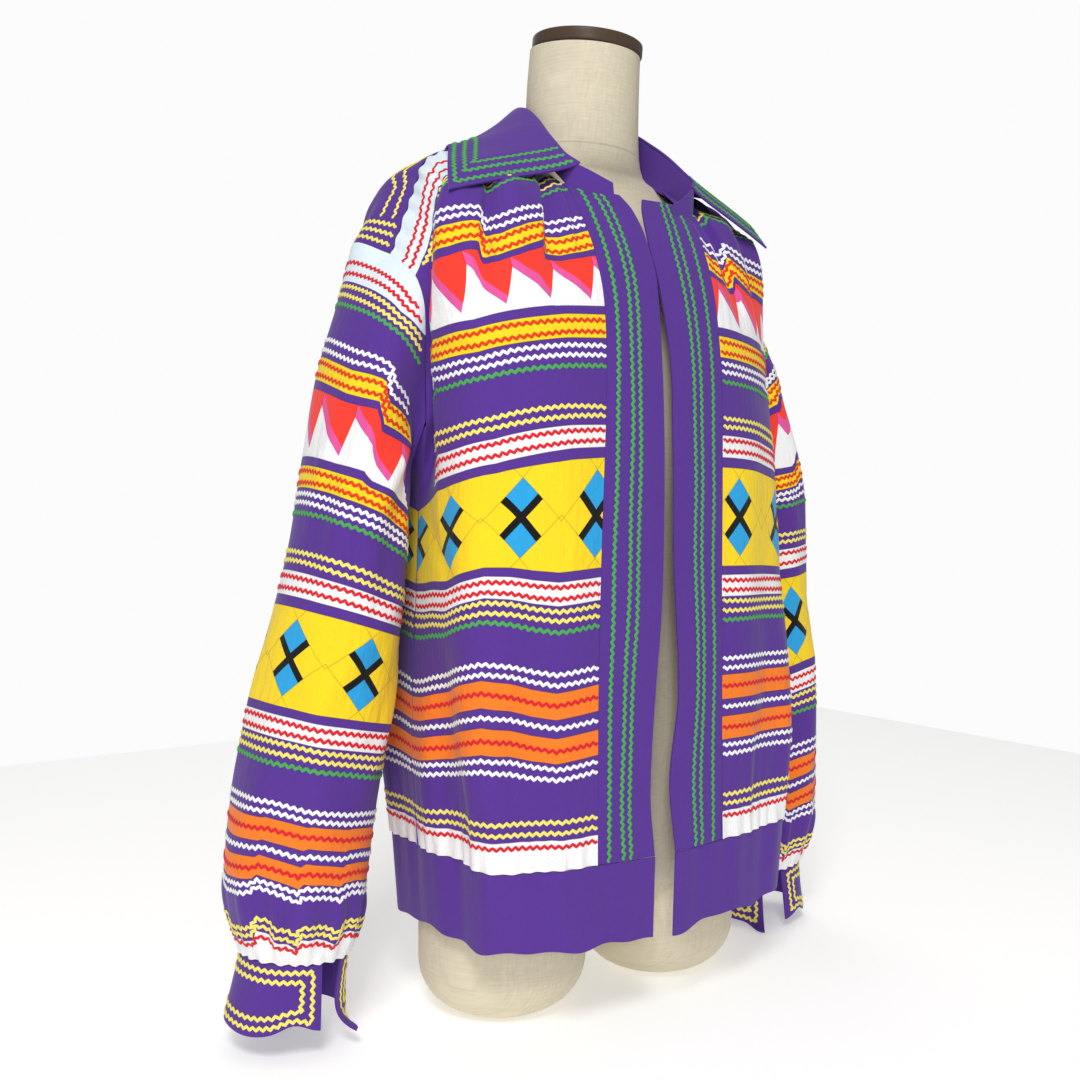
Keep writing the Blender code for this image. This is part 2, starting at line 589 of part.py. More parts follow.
def make_sleeve(side, name, collection):
    """One sleeve tube with the notch for its gusset."""
    loft = sleeve_loft(side)
    share = sleeve_shares(SLEEVE_CELLS[1], SLEEVE_NOTCH_CELLS)
    up = np.linspace(0.0, 1.0, SLEEVE_CELLS[0] + 1)[:, None]
    height = SEAM_GAP / 2 + (sleeve_top(share) - SEAM_GAP / 2) * up
    share = np.repeat(share[None, :], len(up), 0)
    points = sleeve_point(loft, height, share)
    return cloth(name, points, SLEEVE_WALL, fabric(name, YELLOW), collection, closed=True, flip=side < 0)


def coons(bottom, top, left, right, across, up):
    """Patch between four edges that meet at their corners, at shares across and up."""
    low = resample(bottom, across)[None, :, :]
    high = resample(top, across)[None, :, :]
    first = resample(left, up)[:, None, :]
    last = resample(right, up)[:, None, :]
    across = across[None, :, None]
    up = up[:, None, None]
    corners = ((1 - up) * ((1 - across) * bottom[0] + across * bottom[-1])
               + up * ((1 - across) * top[0] + across * top[-1]))
    return (1 - up) * low + up * high + (1 - across) * first + across * last - corners


def gusset_edges(side):
    """The four seams of a gusset, from the side seam's top and from the sleeve's notch."""
    body_heights = np.linspace(SIDE_SEAM_TOP, GUSSET_TOP, 30)
    whole = np.ones_like(body_heights)
    front = front_loft(side).at(body_heights, whole)
    back_share = whole if side > 0 else whole * 0.0
    back = back_loft().at(body_heights, back_share)
    loft = sleeve_loft(side)
    fore = np.linspace(0.5, GUSSET_FRONT_SHARE, 30)
    aft = np.linspace(0.5, GUSSET_BACK_SHARE, 30)
    sleeve_front = loft.at(sleeve_top(fore), fore)
    sleeve_back = loft.at(sleeve_top(aft), aft)
    return front, back, sleeve_front, sleeve_back


def make_gusset(side, name, collection):
    """The square let in under the arm."""
    front, back, sleeve_front, sleeve_back = gusset_edges(side)
    low = (front[:1] + back[:1]) / 2
    front = np.concatenate((low, front[1:-1], (front[-1:] + sleeve_front[-1:]) / 2))
    back = np.concatenate((low, back[1:-1], (back[-1:] + sleeve_back[-1:]) / 2))
    sleeve_front = np.concatenate((sleeve_front[:-1], front[-1:]))
    sleeve_back = np.concatenate((sleeve_back[:-1], back[-1:]))
    inset = GUSSET_INSET
    shares = np.linspace(inset, 1 - inset, GUSSET_CELLS + 1)
    points = coons(front, sleeve_back[::-1], back, sleeve_front[::-1], shares, shares)
    points[..., 0] -= side * GUSSET_TUCK
    return cloth(name, points, PANEL_WALL, fabric(name, PURPLE), collection, flip=side > 0)


def edge_curve(side):
    """Rows of the free front edge, x by its side."""
    name = "right_x" if side < 0 else "left_x"
    heights = column(EDGE_SECTIONS, EDGE_COLUMNS, "cloth_height")
    points = np.stack([column(EDGE_SECTIONS, EDGE_COLUMNS, key) for key in (name, "y", "z")], 1)
    points[:, 0] += sway(heights)
    return heights, points


def placket_point(side, height, share):
    """Surface of a front band, share 0 at the seam and 1 at the free edge."""
    loft = front_loft(side)
    seam = loft.creased(height, np.zeros_like(height), FRONT_FOLDS)
    heights, points = edge_curve(side)
    free = smooth(heights, points, height)
    bow = (PLACKET_BOW * np.sin(math.pi * share))[..., None] * np.array([0.0, -1.0, 0.0])
    return seam + (free - seam) * share[..., None] + bow


def make_placket(side, name, collection):
    """One front band."""
    heights = front_heights(FRONT_CELLS[0])
    heights = np.append(heights[heights < PLACKET_TOP - SEAM_GAP], PLACKET_TOP)
    height = np.repeat(heights[:, None], PLACKET_CELLS + 1, 1)
    across = np.linspace(0.0, 1.0, PLACKET_CELLS + 1)
    share = PLACKET_INSET + (1 - PLACKET_INSET) * across[None, :] + 0 * height
    points = placket_point(side, height, share)
    return cloth(name, points, BAND_WALL, fabric(name, PURPLE), collection, flip=side > 0)


def waist_row(drop):
    """The body's lower row from the right front edge round the back, set down by `drop`."""
    count = 60
    zero = np.zeros(count)
    share = np.linspace(0.0, 1.0, count)
    right = front_loft(-1).creased(zero, share, FRONT_FOLDS)
    left = front_loft(1).creased(zero, share, FRONT_FOLDS)
    around = np.linspace(0.0, 1.0, 2 * count)
    back = back_loft().creased(np.zeros(2 * count), around, both_sides(BACK_FOLDS))
    first = placket_point(-1, np.zeros(12), np.linspace(1.0, 0.0, 12))
    last = placket_point(1, np.zeros(12), np.linspace(0.0, 1.0, 12))
    row = np.concatenate((first[:-1], right[:-1], back, left[::-1][1:], last[1:]))
    middle = (row + np.roll(row, 1, 0) + np.roll(row, -1, 0)) / 3
    row[1:-1] = middle[1:-1]
    return row - np.array([0.0, 0.0, drop])


def waistband_grid(down, across):
    """Surface of the waistband: its top follows the gathers, its hem is smoother and tucked in."""
    row = resample(waist_row(0.0), across)
    shape = smooth_columns(row, WAISTBAND_SMOOTHING)
    hem = shape * np.array([WAISTBAND_TUCK, WAISTBAND_TUCK, 0.0])
    front_lift = np.exp(-((across - 0.0) / 0.05) ** 2) + np.exp(-((across - 1.0) / 0.05) ** 2)
    hem[:, 2] = shape[:, 2] - WAISTBAND_HEIGHT - 0.004 * front_lift
    down = down[:, None, None]
    top = row - np.array([0.0, 0.0, SEAM_GAP])
    return top[None] * (1 - down) + hem[None] * down


def smooth_columns(points, rounds):
    """Points of a line evened out between neighbours, its ends kept."""
    points = points.copy()
    for _ in range(rounds):
        points[1:-1] = (points[:-2] + 2 * points[1:-1] + points[2:]) / 4
    return points


def make_waistband(collection):
    """The waistband strip, open in front."""
    down = np.linspace(0.0, 1.0, WAISTBAND_CELLS[0] + 1)
    across = np.linspace(0.0, 1.0, WAISTBAND_CELLS[1] + 1)
    points = waistband_grid(down, across)
    return cloth("waistband", points, BAND_WALL, fabric("waistband", PURPLE), collection)


def cuff_grid(side, down, across):
    """Surface of a cuff from the sleeve seam down, across from one side of its slit to the other."""
    loft = sleeve_loft(side)
    start = CUFF_SLIT_SHARE + CUFF_SLIT_HALF
    share = (start + (1 - 2 * CUFF_SLIT_HALF) * across) % 1.0
    top = sleeve_point(loft, np.zeros_like(share), share)
    last = SLEEVE_RINGS[-1]
    closer = last[11] if side > 0 else 0.0
    centre = np.array([side * (last[1] - closer), last[2], 0.0])
    outward = unit((top - centre) * np.array([1.0, 1.0, 0.0]))
    wave = CUFF_WAVE * np.sin(2 * math.pi * (2 * across + 0.2))
    open_end = np.exp(-(across / 0.10) ** 2) * CUFF_CURL
    flare = CUFF_FLARE + wave + open_end
    down = down[:, None, None]
    bottom = top + outward * flare[:, None] + np.array(CUFF_SHIFT) * np.array([side, 1.0, 1.0])
    bottom[:, 2] = top[:, 2].mean() - CUFF_HEIGHT + (top[:, 2] - top[:, 2].mean()) * CUFF_SLOPE
    top = top - outward * CUFF_INSET - np.array([0.0, 0.0, CUFF_SEAM_GAP])
    return top[None] * (1 - down) + bottom[None] * down


def make_cuff(side, name, collection):
    """One cuff, open at its slit."""
    down = np.linspace(0.0, 1.0, CUFF_CELLS[0] + 1)
    across = np.linspace(0.0, 1.0, CUFF_CELLS[1] + 1)
    points = cuff_grid(side, down, across)
    return cloth(name, points, BAND_WALL, fabric(name, PURPLE), collection, flip=side > 0)


def collar_rows(with_tab=False):
    """Stations from the right front end round the back to the left one; the neckband has a tab."""
    table = np.array(([NECKBAND_TAB] if with_tab else []) + list(COLLAR_STATIONS))
    stations = lengths(table[:, 0:3])
    at = np.linspace(0.0, stations[-1], 60)
    half = smooth(stations, table, at)
    flipped = half.copy()
    flipped[:, 0] *= -1
    flipped[:, 5] *= -1
    return np.concatenate((flipped, half[::-1][1:]))


def collar_at(rows, across):
    """Collar rows read at shares of the neckline."""
    run = lengths(rows[:, 0:3])
    return np.stack([np.interp(across * run[-1], run, rows[:, k]) for k in range(rows.shape[1])], 1)


def stand_top(rows):
    """Upper edge of the neckband, leaning to the neck."""
    base = rows[:, 0:3]
    centre = np.array([0.0, NECK_CENTRE_Y, 0.0])
    inward = unit((centre - base) * np.array([1.0, 1.0, 0.0]))
    return base + inward * rows[:, 4:5] + np.array([0.0, 0.0, 1.0]) * rows[:, 3:4]


def neckband_grid(up, across):
    """Surface of the neckband."""
    rows = collar_at(collar_rows(with_tab=True), across)
    base = rows[:, 0:3] + np.array([0.0, 0.0, NECKBAND_CLEAR])
    top = stand_top(rows)
    up = up[:, None, None]
    return base[None] * (1 - up) + top[None] * up


def collar_grid(down, across):
    """Surface of the collar's fall: it rolls over the neckband's top and spreads to its edge."""
    rows = collar_at(collar_rows(), across)
    fold = stand_top(rows) + np.array([0.0, 0.0, COLLAR_LIFT])
    edge = rows[:, 5:8]
    spread = edge - fold
    flat = spread * np.array([1.0, 1.0, 0.0])
    first = fold + np.array([0.0, 0.0, COLLAR_ROLL]) + flat * 0.12
    second = fold + flat * 0.50 + np.array([0.0, 0.0, 1.0]) * (spread[:, 2:3] * 0.36 + 0.010)
    t = down[:, None, None]
    return ((1 - t) ** 3 * fold + 3 * (1 - t) ** 2 * t * first
            + 3 * (1 - t) * t ** 2 * second + t ** 3 * edge)


def make_collar(collection):
    """Neckband and collar."""
    up = np.linspace(0.0, 1.0, NECKBAND_CELLS[0] + 1)
    across = np.linspace(0.0, 1.0, NECKBAND_CELLS[1] + 1)
    points = neckband_grid(up, across)
    cloth("neckband", points, BAND_WALL, fabric("neckband", PURPLE), collection, flip=True)
    down = np.linspace(0.0, 1.0, COLLAR_CELLS[0] + 1) ** 1.5
    across = np.linspace(0.0, 1.0, COLLAR_CELLS[1] + 1)
    points = collar_grid(down, across)
    cloth("collar", points, BAND_WALL, fabric("collar", PURPLE), collection)


def form_ring(ring, turn):
    """One ring of the dress form: half-width, front and back depth, and roundness in plan."""
    height, half_width, front_y, back_y, roundness = ring
    power = 2.0 / roundness
    x = half_width * np.sign(np.cos(turn)) * np.abs(np.cos(turn)) ** power
    depth = np.where(np.sin(turn) < 0, -front_y, back_y)
    y = depth * np.sign(np.sin(turn)) * np.abs(np.sin(turn)) ** power
    tilt = math.tan(NECK_LEAN) * np.clip((height - NECK_TILT_FROM) / (FORM_RINGS[-1][0] - NECK_TILT_FROM), 0, 1)
    return np.stack([x, y, height + y * tilt], 1)


def make_form(collection, cutters):
    """Trunk and neck as one loft, joined with two thigh stumps."""
    table = np.array(FORM_RINGS)
    run = lengths(table[:, 0:3])
    levels = smooth(run, table, np.linspace(0.0, run[-1], FORM_LEVELS + 1))
    turn = 2 * math.pi * np.arange(FORM_SIDES) / FORM_SIDES
    points = np.stack([form_ring(ring, turn) for ring in levels])
    mesh = grid_mesh("dress_form", points, closed=True)
    form = add_object("dress_form", mesh, fabric("dress_form", LINEN, 0.8), collection)
    close_ends(mesh)
    for side, label in ((-1, "right_stump"), (1, "left_stump")):
        stump = make_stump(side, label, cutters)
        join = form.modifiers.new(label, "BOOLEAN")
        join.operation = "UNION"
        join.solver = "EXACT"
        join.object = stump
    return form


def close_ends(mesh):
    """Flat faces on the open first and last rings."""
    work = bmesh.new()
    work.from_mesh(mesh)
    rim = [edge for edge in work.edges if edge.is_boundary]
    bmesh.ops.holes_fill(work, edges=rim, sides=0)
    bmesh.ops.recalc_face_normals(work, faces=work.faces)
    work.to_mesh(mesh)
    work.free()


def make_stump(side, name, collection):
    """A thigh stump with a rounded foot, turned about its axis."""
    turn = np.linspace(0.0, math.pi / 2, 7)
    flat = STUMP_RADIUS - STUMP_FILLET
    rings = [(flat + STUMP_FILLET * math.sin(a), STUMP_FILLET * (1 - math.cos(a))) for a in turn]
    rings.append((STUMP_RADIUS, STUMP_TOP * 0.6))
    rings.append((STUMP_RADIUS * 0.93, STUMP_TOP))
    around = 2 * math.pi * np.arange(STUMP_SIDES) / STUMP_SIDES
    points = np.stack([np.stack([side * STUMP_SPREAD + radius * np.cos(around),
                                 STUMP_BACK + radius * np.sin(around),
                                 np.full_like(around, height)], 1) for radius, height in rings])
    mesh = grid_mesh(name, points, closed=True)
    close_ends(mesh)
    stump = add_object(name, mesh, fabric(name, LINEN, 0.8), collection)
    stump.hide_render = True
    stump.display_type = "WIRE"
    return stump


def make_cap(collection):
    """The dark cap on the neck, tilted with it."""
    mesh = bpy.data.meshes.new("neck_cap")
    work = bmesh.new()
    bmesh.ops.create_cone(work, cap_ends=True, segments=36, radius1=CAP_RADIUS, radius2=CAP_RADIUS,
                          depth=CAP_THICKNESS)
    work.to_mesh(mesh)
    work.free()
    cap = add_object("neck_cap", mesh, fabric("neck_cap", CAP_BROWN, 0.5), collection)
    edge = cap.modifiers.new("rounded edge", "BEVEL")
    edge.width = CAP_EDGE
    edge.segments = 2
    edge.limit_method = "ANGLE"
    cap.rotation_euler = (NECK_LEAN, 0.0, 0.0)
    rise = CAP_THICKNESS / 2 + CAP_GAP
    cap.location = (STAND_SHIFT[0] + NECK_TOP[0],
                    STAND_SHIFT[1] + NECK_TOP[1] - rise * math.sin(NECK_LEAN),
                    STAND_SHIFT[2] + NECK_TOP[2] + rise * math.cos(NECK_LEAN))
    return cap


def make_collection(name):
    """A new collection in the scene."""
    collection = bpy.data.collections.new(name)
    bpy.context.scene.collection.children.link(collection)
    return collection


def main():
    for item in list(bpy.data.objects):
        bpy.data.objects.remove(item)
    jacket = make_collection(OBJECT_NAME)
    cutters = make_collection("cutters")
    make_form(jacket, cutters)
    make_cap(jacket)
    make_back(jacket)
    make_waistband(jacket)
    make_collar(jacket)
    for side, label in ((-1, "right"), (1, "left")):
        make_front(side, label + "_front", jacket)
        make_placket(side, label + "_placket", jacket)
        make_sleeve(side, label + "_sleeve", jacket)
        make_gusset(side, label + "_gusset", jacket)
        make_cuff(side, label + "_cuff", jacket)


main()
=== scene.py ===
"""Patchwork jacket on a limbless dress form: cloth, braid, form and stage.

Laid out as an add-on and run as a script. Metres, +Z up. The front faces -Y and the
wearer's left is +X. Each cloth piece is a surface lofted through a few sections, read on
a fine grid in metres of cloth, so that strips, patches and braid follow the cloth.
"""
import math

import bmesh
import bpy
import numpy as np
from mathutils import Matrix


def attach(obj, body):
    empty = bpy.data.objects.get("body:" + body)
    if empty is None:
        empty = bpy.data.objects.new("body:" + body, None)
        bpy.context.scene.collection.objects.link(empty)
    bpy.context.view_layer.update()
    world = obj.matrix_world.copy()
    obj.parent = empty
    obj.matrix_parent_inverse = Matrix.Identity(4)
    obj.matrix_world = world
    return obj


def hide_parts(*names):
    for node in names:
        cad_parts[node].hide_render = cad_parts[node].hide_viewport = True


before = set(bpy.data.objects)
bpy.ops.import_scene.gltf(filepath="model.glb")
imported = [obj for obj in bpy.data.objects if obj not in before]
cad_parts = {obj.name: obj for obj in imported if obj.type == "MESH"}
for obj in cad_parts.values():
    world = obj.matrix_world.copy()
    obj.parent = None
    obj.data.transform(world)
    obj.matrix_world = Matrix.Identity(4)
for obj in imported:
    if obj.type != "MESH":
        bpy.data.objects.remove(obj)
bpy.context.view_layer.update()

bl_info = {
    "name": "Patchwork jacket on a dress form",
    "version": (1, 0, 0),
    "blender": (4, 5, 0),
    "location": "3D View > Sidebar > Jacket",
    "description": "Builds a strip-pieced jacket with rickrack braid on a dress form",
    "category": "Add Mesh",
}

BODY = "root"

# Walls and seams
PANEL_WALL = 0.0015
SLEEVE_WALL = 0.0012
BAND_WALL = 0.0018
SEAM_GAP = 0.0005

# Where the stand's axis lies from the middle of the whole object
STAND_SHIFT = (0.0066, 0.0055, 0.0)

# Cut of the jacket
PANEL_HEIGHT = 0.659
WAISTBAND_HEIGHT = 0.069
CUFF_HEIGHT = 0.055
PLACKET_TOP = 0.600
GUSSET_TOP = 0.485
SIDE_SEAM_TOP = 0.343

# Dress form
CAP_THICKNESS = 0.012
CAP_RADIUS = 0.0535
NECK_LEAN = math.radians(7.5)
NECK_TOP = (0.0, -0.0065, 0.8945)
STUMP_RADIUS = 0.0775
STUMP_SPREAD = 0.0905
STUMP_TOP = 0.150
STUMP_FILLET = 0.045

# Half sections of the fronts from the waistband seam up to the shoulder line: cloth height, the
# placket seam or neckline (x on the right and the left, y, z), the crest beside the armhole
# crease (x, y, z), the side seam or armhole (x, y, z), how deep the crease goes in, squareness.
FRONT_SECTIONS = (
    (0.000, 0.0790, 0.0620, -0.126, 0.152, 0.179, -0.052, 0.156, 0.1835, -0.0004, 0.157, 0.000, 0.80),
    (0.035, 0.0785, 0.0620, -0.127, 0.188, 0.182, -0.052, 0.190, 0.1855, -0.0004, 0.190, 0.000, 0.79),
    (0.083, 0.0780, 0.0620, -0.128, 0.234, 0.185, -0.052, 0.233, 0.1880, -0.0004, 0.233, 0.000, 0.78),
    (0.165, 0.0760, 0.0630, -0.129, 0.314, 0.184, -0.050, 0.310, 0.1850, -0.0004, 0.308, 0.000, 0.76),
    (0.256, 0.0730, 0.0630, -0.131, 0.403, 0.182, -0.048, 0.392, 0.1800, -0.0004, 0.388, 0.000, 0.74),
    (0.343, 0.0700, 0.0630, -0.132, 0.493, 0.184, -0.047, 0.469, 0.1780, -0.0004, 0.452, 0.002, 0.74),
    (0.400, 0.0670, 0.0640, -0.131, 0.550, 0.187, -0.046, 0.529, 0.1800, -0.0100, 0.480, 0.009, 0.74),
    (0.445, 0.0650, 0.0640, -0.128, 0.594, 0.189, -0.0445, 0.581, 0.1830, -0.0220, 0.503, 0.014, 0.74),
    (0.485, 0.0640, 0.0640, -0.123, 0.634, 0.1905, -0.044, 0.620, 0.1860, -0.0310, 0.528, 0.016, 0.74),
    (0.528, 0.0680, 0.0620, -0.114, 0.678, 0.1905, -0.0435, 0.6615, 0.1865, -0.0320, 0.566, 0.016, 0.76),
    (0.565, 0.0730, 0.0600, -0.101, 0.711, 0.190, -0.043, 0.694, 0.1880, -0.0350, 0.602, 0.015, 0.78),
    (0.592, 0.0750, 0.0580, -0.086, 0.736, 0.189, -0.041, 0.712, 0.1905, -0.0380, 0.628, 0.013, 0.80),
    (0.615, 0.0765, 0.0640, -0.062, 0.757, 0.187, -0.036, 0.727, 0.1945, -0.0340, 0.649, 0.010, 0.84),
    (0.637, 0.0730, 0.0700, -0.030, 0.777, 0.184, -0.020, 0.742, 0.1995, -0.0190, 0.665, 0.005, 0.90),
    (0.659, 0.0660, 0.0660, 0.003, 0.792, 0.176, 0.003, 0.753, 0.2030, 0.0030, 0.678, 0.000, 0.95),
)

# Half sections of the back, the same way: cloth height, the centre back (y, z), crest, side,
# crease and squareness.
BACK_SECTIONS = (
    (0.000, 0.112, 0.155, 0.179, 0.048, 0.156, 0.1835, 0.0004, 0.157, 0.000, 0.80),
    (0.035, 0.118, 0.190, 0.181, 0.049, 0.190, 0.1855, 0.0004, 0.190, 0.000, 0.79),
    (0.083, 0.122, 0.236, 0.184, 0.050, 0.234, 0.1880, 0.0004, 0.233, 0.000, 0.78),
    (0.165, 0.124, 0.318, 0.183, 0.052, 0.312, 0.1850, 0.0004, 0.308, 0.000, 0.76),
    (0.256, 0.124, 0.409, 0.181, 0.054, 0.395, 0.1800, 0.0004, 0.388, 0.000, 0.74),
    (0.343, 0.124, 0.496, 0.183, 0.058, 0.470, 0.1780, 0.0004, 0.452, 0.001, 0.74),
    (0.400, 0.124, 0.553, 0.187, 0.066, 0.525, 0.1800, 0.0120, 0.484, 0.005, 0.74),
    (0.445, 0.123, 0.598, 0.190, 0.074, 0.570, 0.1840, 0.0280, 0.511, 0.009, 0.74),
    (0.485, 0.120, 0.638, 0.192, 0.080, 0.606, 0.1880, 0.0450, 0.540, 0.011, 0.74),
    (0.528, 0.114, 0.680, 0.193, 0.084, 0.647, 0.1900, 0.0580, 0.582, 0.011, 0.76),
    (0.565, 0.107, 0.715, 0.194, 0.084, 0.682, 0.1940, 0.0700, 0.622, 0.010, 0.78),
    (0.592, 0.099, 0.741, 0.196, 0.078, 0.708, 0.2010, 0.0760, 0.655, 0.008, 0.80),
    (0.615, 0.090, 0.763, 0.196, 0.066, 0.726, 0.2110, 0.0700, 0.680, 0.003, 0.84),
    (0.637, 0.080, 0.784, 0.189, 0.040, 0.747, 0.2180, 0.0460, 0.694, 0.000, 0.90),
)

# How far the body hangs over to the wearer's left, by cloth height.
SWAY = ((0.0, 0.0055), (0.083, 0.004), (0.165, 0.002), (0.256, 0.0), (0.659, 0.0))

# Neckline from the shoulder to the centre back.
NECK_SIDE = (0.066, 0.003, 0.792)
NECK_BACK = (0.0, 0.069, 0.804)

# Free edges of the front bands: cloth height, x on the right and the left, y, z.
EDGE_SECTIONS = (
    (0.000, -0.0180, 0.0050, -0.1285, 0.150),
    (0.060, -0.0240, -0.0010, -0.1300, 0.210),
    (0.140, -0.0170, 0.0090, -0.1315, 0.289),
    (0.220, -0.0100, 0.0070, -0.1335, 0.368),
    (0.300, -0.0070, 0.0030, -0.1350, 0.448),
    (0.400, -0.0080, 0.0030, -0.1345, 0.550),
    (0.500, -0.0060, -0.0030, -0.1235, 0.650),
    (0.550, -0.0100, -0.0065, -0.1110, 0.697),
    (0.580, -0.0170, -0.0055, -0.1020, 0.722),
    (0.602, -0.0290, -0.0020, -0.0970, 0.736),
)

# Rings of a sleeve below the armhole: cloth height, centre (x outwards, y, z), rise of the outer
# side, fall of the front, drop of the inner side and its power, half-widths outwards and
# forwards, power of the inner side, and how much closer and lower the left sleeve hangs.
SLEEVE_RINGS = (
    (0.600, 0.2175, 0.014, 0.6058, 0.025, 0.018, 0.110, 6, 0.0215, 0.0560, 0.45, 0.000, 0.000),
    (0.540, 0.2265, 0.015, 0.5487, 0.019, 0.017, 0.078, 8, 0.0320, 0.0610, 0.55, 0.000, 0.000),
    (0.473, 0.2335, 0.015, 0.4790, 0.020, 0.006, 0.040, 10, 0.0390, 0.0640, 0.70, 0.001, 0.000),
    (0.400, 0.2390, 0.017, 0.4120, 0.019, 0.003, 0.012, 10, 0.0445, 0.0640, 0.85, 0.002, 0.000),
    (0.343, 0.2460, 0.019, 0.3580, 0.016, 0.001, 0.000, 10, 0.0505, 0.0630, 1.00, 0.003, 0.002),
    (0.256, 0.2575, 0.023, 0.2810, 0.013, 0.000, 0.000, 10, 0.0550, 0.0620, 1.00, 0.004, 0.005),
    (0.165, 0.2710, 0.028, 0.2020, 0.013, 0.000, 0.000, 10, 0.0575, 0.0620, 1.00, 0.007, 0.008),
    (0.083, 0.2790, 0.031, 0.1395, 0.010, 0.000, 0.000, 10, 0.0585, 0.0610, 1.00, 0.013, 0.011),
    (0.030, 0.2800, 0.032, 0.1035, 0.007, 0.000, 0.000, 10, 0.0530, 0.0545, 1.00, 0.017, 0.013),
    (0.000, 0.2800, 0.032, 0.0780, 0.005, 0.000, 0.000, 10, 0.0460, 0.0470, 1.00, 0.018, 0.0135),
)
GUSSET_FRONT_SHARE = 0.40
GUSSET_BACK_SHARE = 0.60
SLEEVE_NOTCH = 0.590
ARMHOLE_STEP = 0.0010

# Folds: where the crease runs across the panel (share of its width) at its lower and
# upper end, from and to which cloth height, depth (a ridge is negative), half-width and slant.
FRONT_FOLDS = (
    (0.170, 0.080, 0.470, 0.650, 0.0070, 0.0110, 0.0),
    (0.430, 0.340, 0.460, 0.650, 0.0080, 0.0120, 0.0),
    (0.690, 0.600, 0.480, 0.650, 0.0070, 0.0120, 0.0),
    (0.300, 0.210, 0.480, 0.650, -0.0040, 0.0120, 0.0),
    (0.560, 0.470, 0.480, 0.650, -0.0045, 0.0120, 0.0),
    (0.280, 0.330, -0.050, 0.190, 0.0060, 0.0170, 0.0),
    (0.500, 0.480, -0.050, 0.240, -0.0070, 0.0220, 0.0),
    (0.680, 0.740, -0.050, 0.200, 0.0080, 0.0190, 0.0),
    (0.880, 0.860, -0.050, 0.160, -0.0050, 0.0190, 0.0),
)
BACK_FOLDS = (
    (0.140, 0.120, 0.480, 0.640, 0.0050, 0.0140, 0.0),
    (0.330, 0.260, 0.500, 0.640, -0.0040, 0.0160, 0.0),
    (0.500, 0.420, 0.420, 0.630, 0.0050, 0.0170, 0.0),
    (0.180, 0.220, -0.050, 0.220, 0.0070, 0.0190, 0.0),
    (0.380, 0.400, -0.050, 0.260, -0.0070, 0.0230, 0.0),
    (0.600, 0.560, -0.050, 0.180, 0.0075, 0.0190, 0.0),
    (0.800, 0.780, -0.050, 0.210, -0.0060, 0.0200, 0.0),
)
SLEEVE_FOLDS = (
    (0.130, 0.180, 0.330, 0.600, 0.0070, 0.0120, 0.0),
    (0.270, 0.300, 0.280, 0.580, -0.0050, 0.0150, 0.0),
    (0.820, 0.770, 0.300, 0.600, 0.0070, 0.0140, 0.0),
    (0.240, 0.140, 0.100, 0.340, 0.0055, 0.0150, 0.0),
    (0.880, 0.960, 0.080, 0.330, 0.0055, 0.0160, 0.0),
    (0.080, 0.060, 0.000, 0.110, 0.0050, 0.0100, 0.0),
    (0.210, 0.220, 0.000, 0.120, 0.0055, 0.0100, 0.0),
    (0.350, 0.360, 0.000, 0.100, 0.0050, 0.0100, 0.0),
    (0.620, 0.600, 0.000, 0.110, 0.0050, 0.0110, 0.0),
    (0.800, 0.780, 0.000, 0.120, 0.0055, 0.0110, 0.0),
)

# Neckband and collar stations from a front end to the centre back: neckline (x, y, z),
# height of the band, its lean to the neck, and the collar's outer edge (x, y, z).
COLLAR_STATIONS = (
    (0.0650, -0.0890, 0.7340, 0.0230, 0.001, 0.1860, -0.0710, 0.7205),
    (0.0760, -0.0790, 0.7440, 0.0240, 0.003, 0.1790, -0.0560, 0.7430),
    (0.0775, -0.0560, 0.7625, 0.0270, 0.007, 0.1665, -0.0330, 0.7630),
    (0.0730, -0.0260, 0.7810, 0.0320, 0.007, 0.1510, -0.0060, 0.7815),
    (0.0660, 0.0080, 0.7960, 0.0370, 0.004, 0.1330, 0.0360, 0.7890),
    (0.0530, 0.0430, 0.8040, 0.0390, 0.004, 0.1060, 0.0840, 0.7860),
    (0.0285, 0.0635, 0.8075, 0.0390, 0.005, 0.0600, 0.1130, 0.7780),
    (0.0000, 0.0700, 0.8085, 0.0390, 0.007, 0.0000, 0.1210, 0.7760),
)
NECKBAND_TAB = (0.0350, -0.0970, 0.7300, 0.0150, 0.001, 0.0, 0.0, 0.0)
COLLAR_ROLL = 0.004
COLLAR_ROLL_REACH = 0.08
COLLAR_MIDDLE = 0.70
COLLAR_MIDWAY = 0.50
COLLAR_END_REACH = 0.09
COLLAR_END_FIRST = -0.0095
COLLAR_END_SECOND = 0.0090
COLLAR_LIFT = 0.0030
LEFT_TAB_REACH = 0.030
LEFT_TAB_LOW = 0.40
LEFT_COLLAR_CLOSER = 0.955
NECKBAND_TUCK = ((0.0075, 0.0022, 0.16), (0.0180, 0.0045, 0.40))

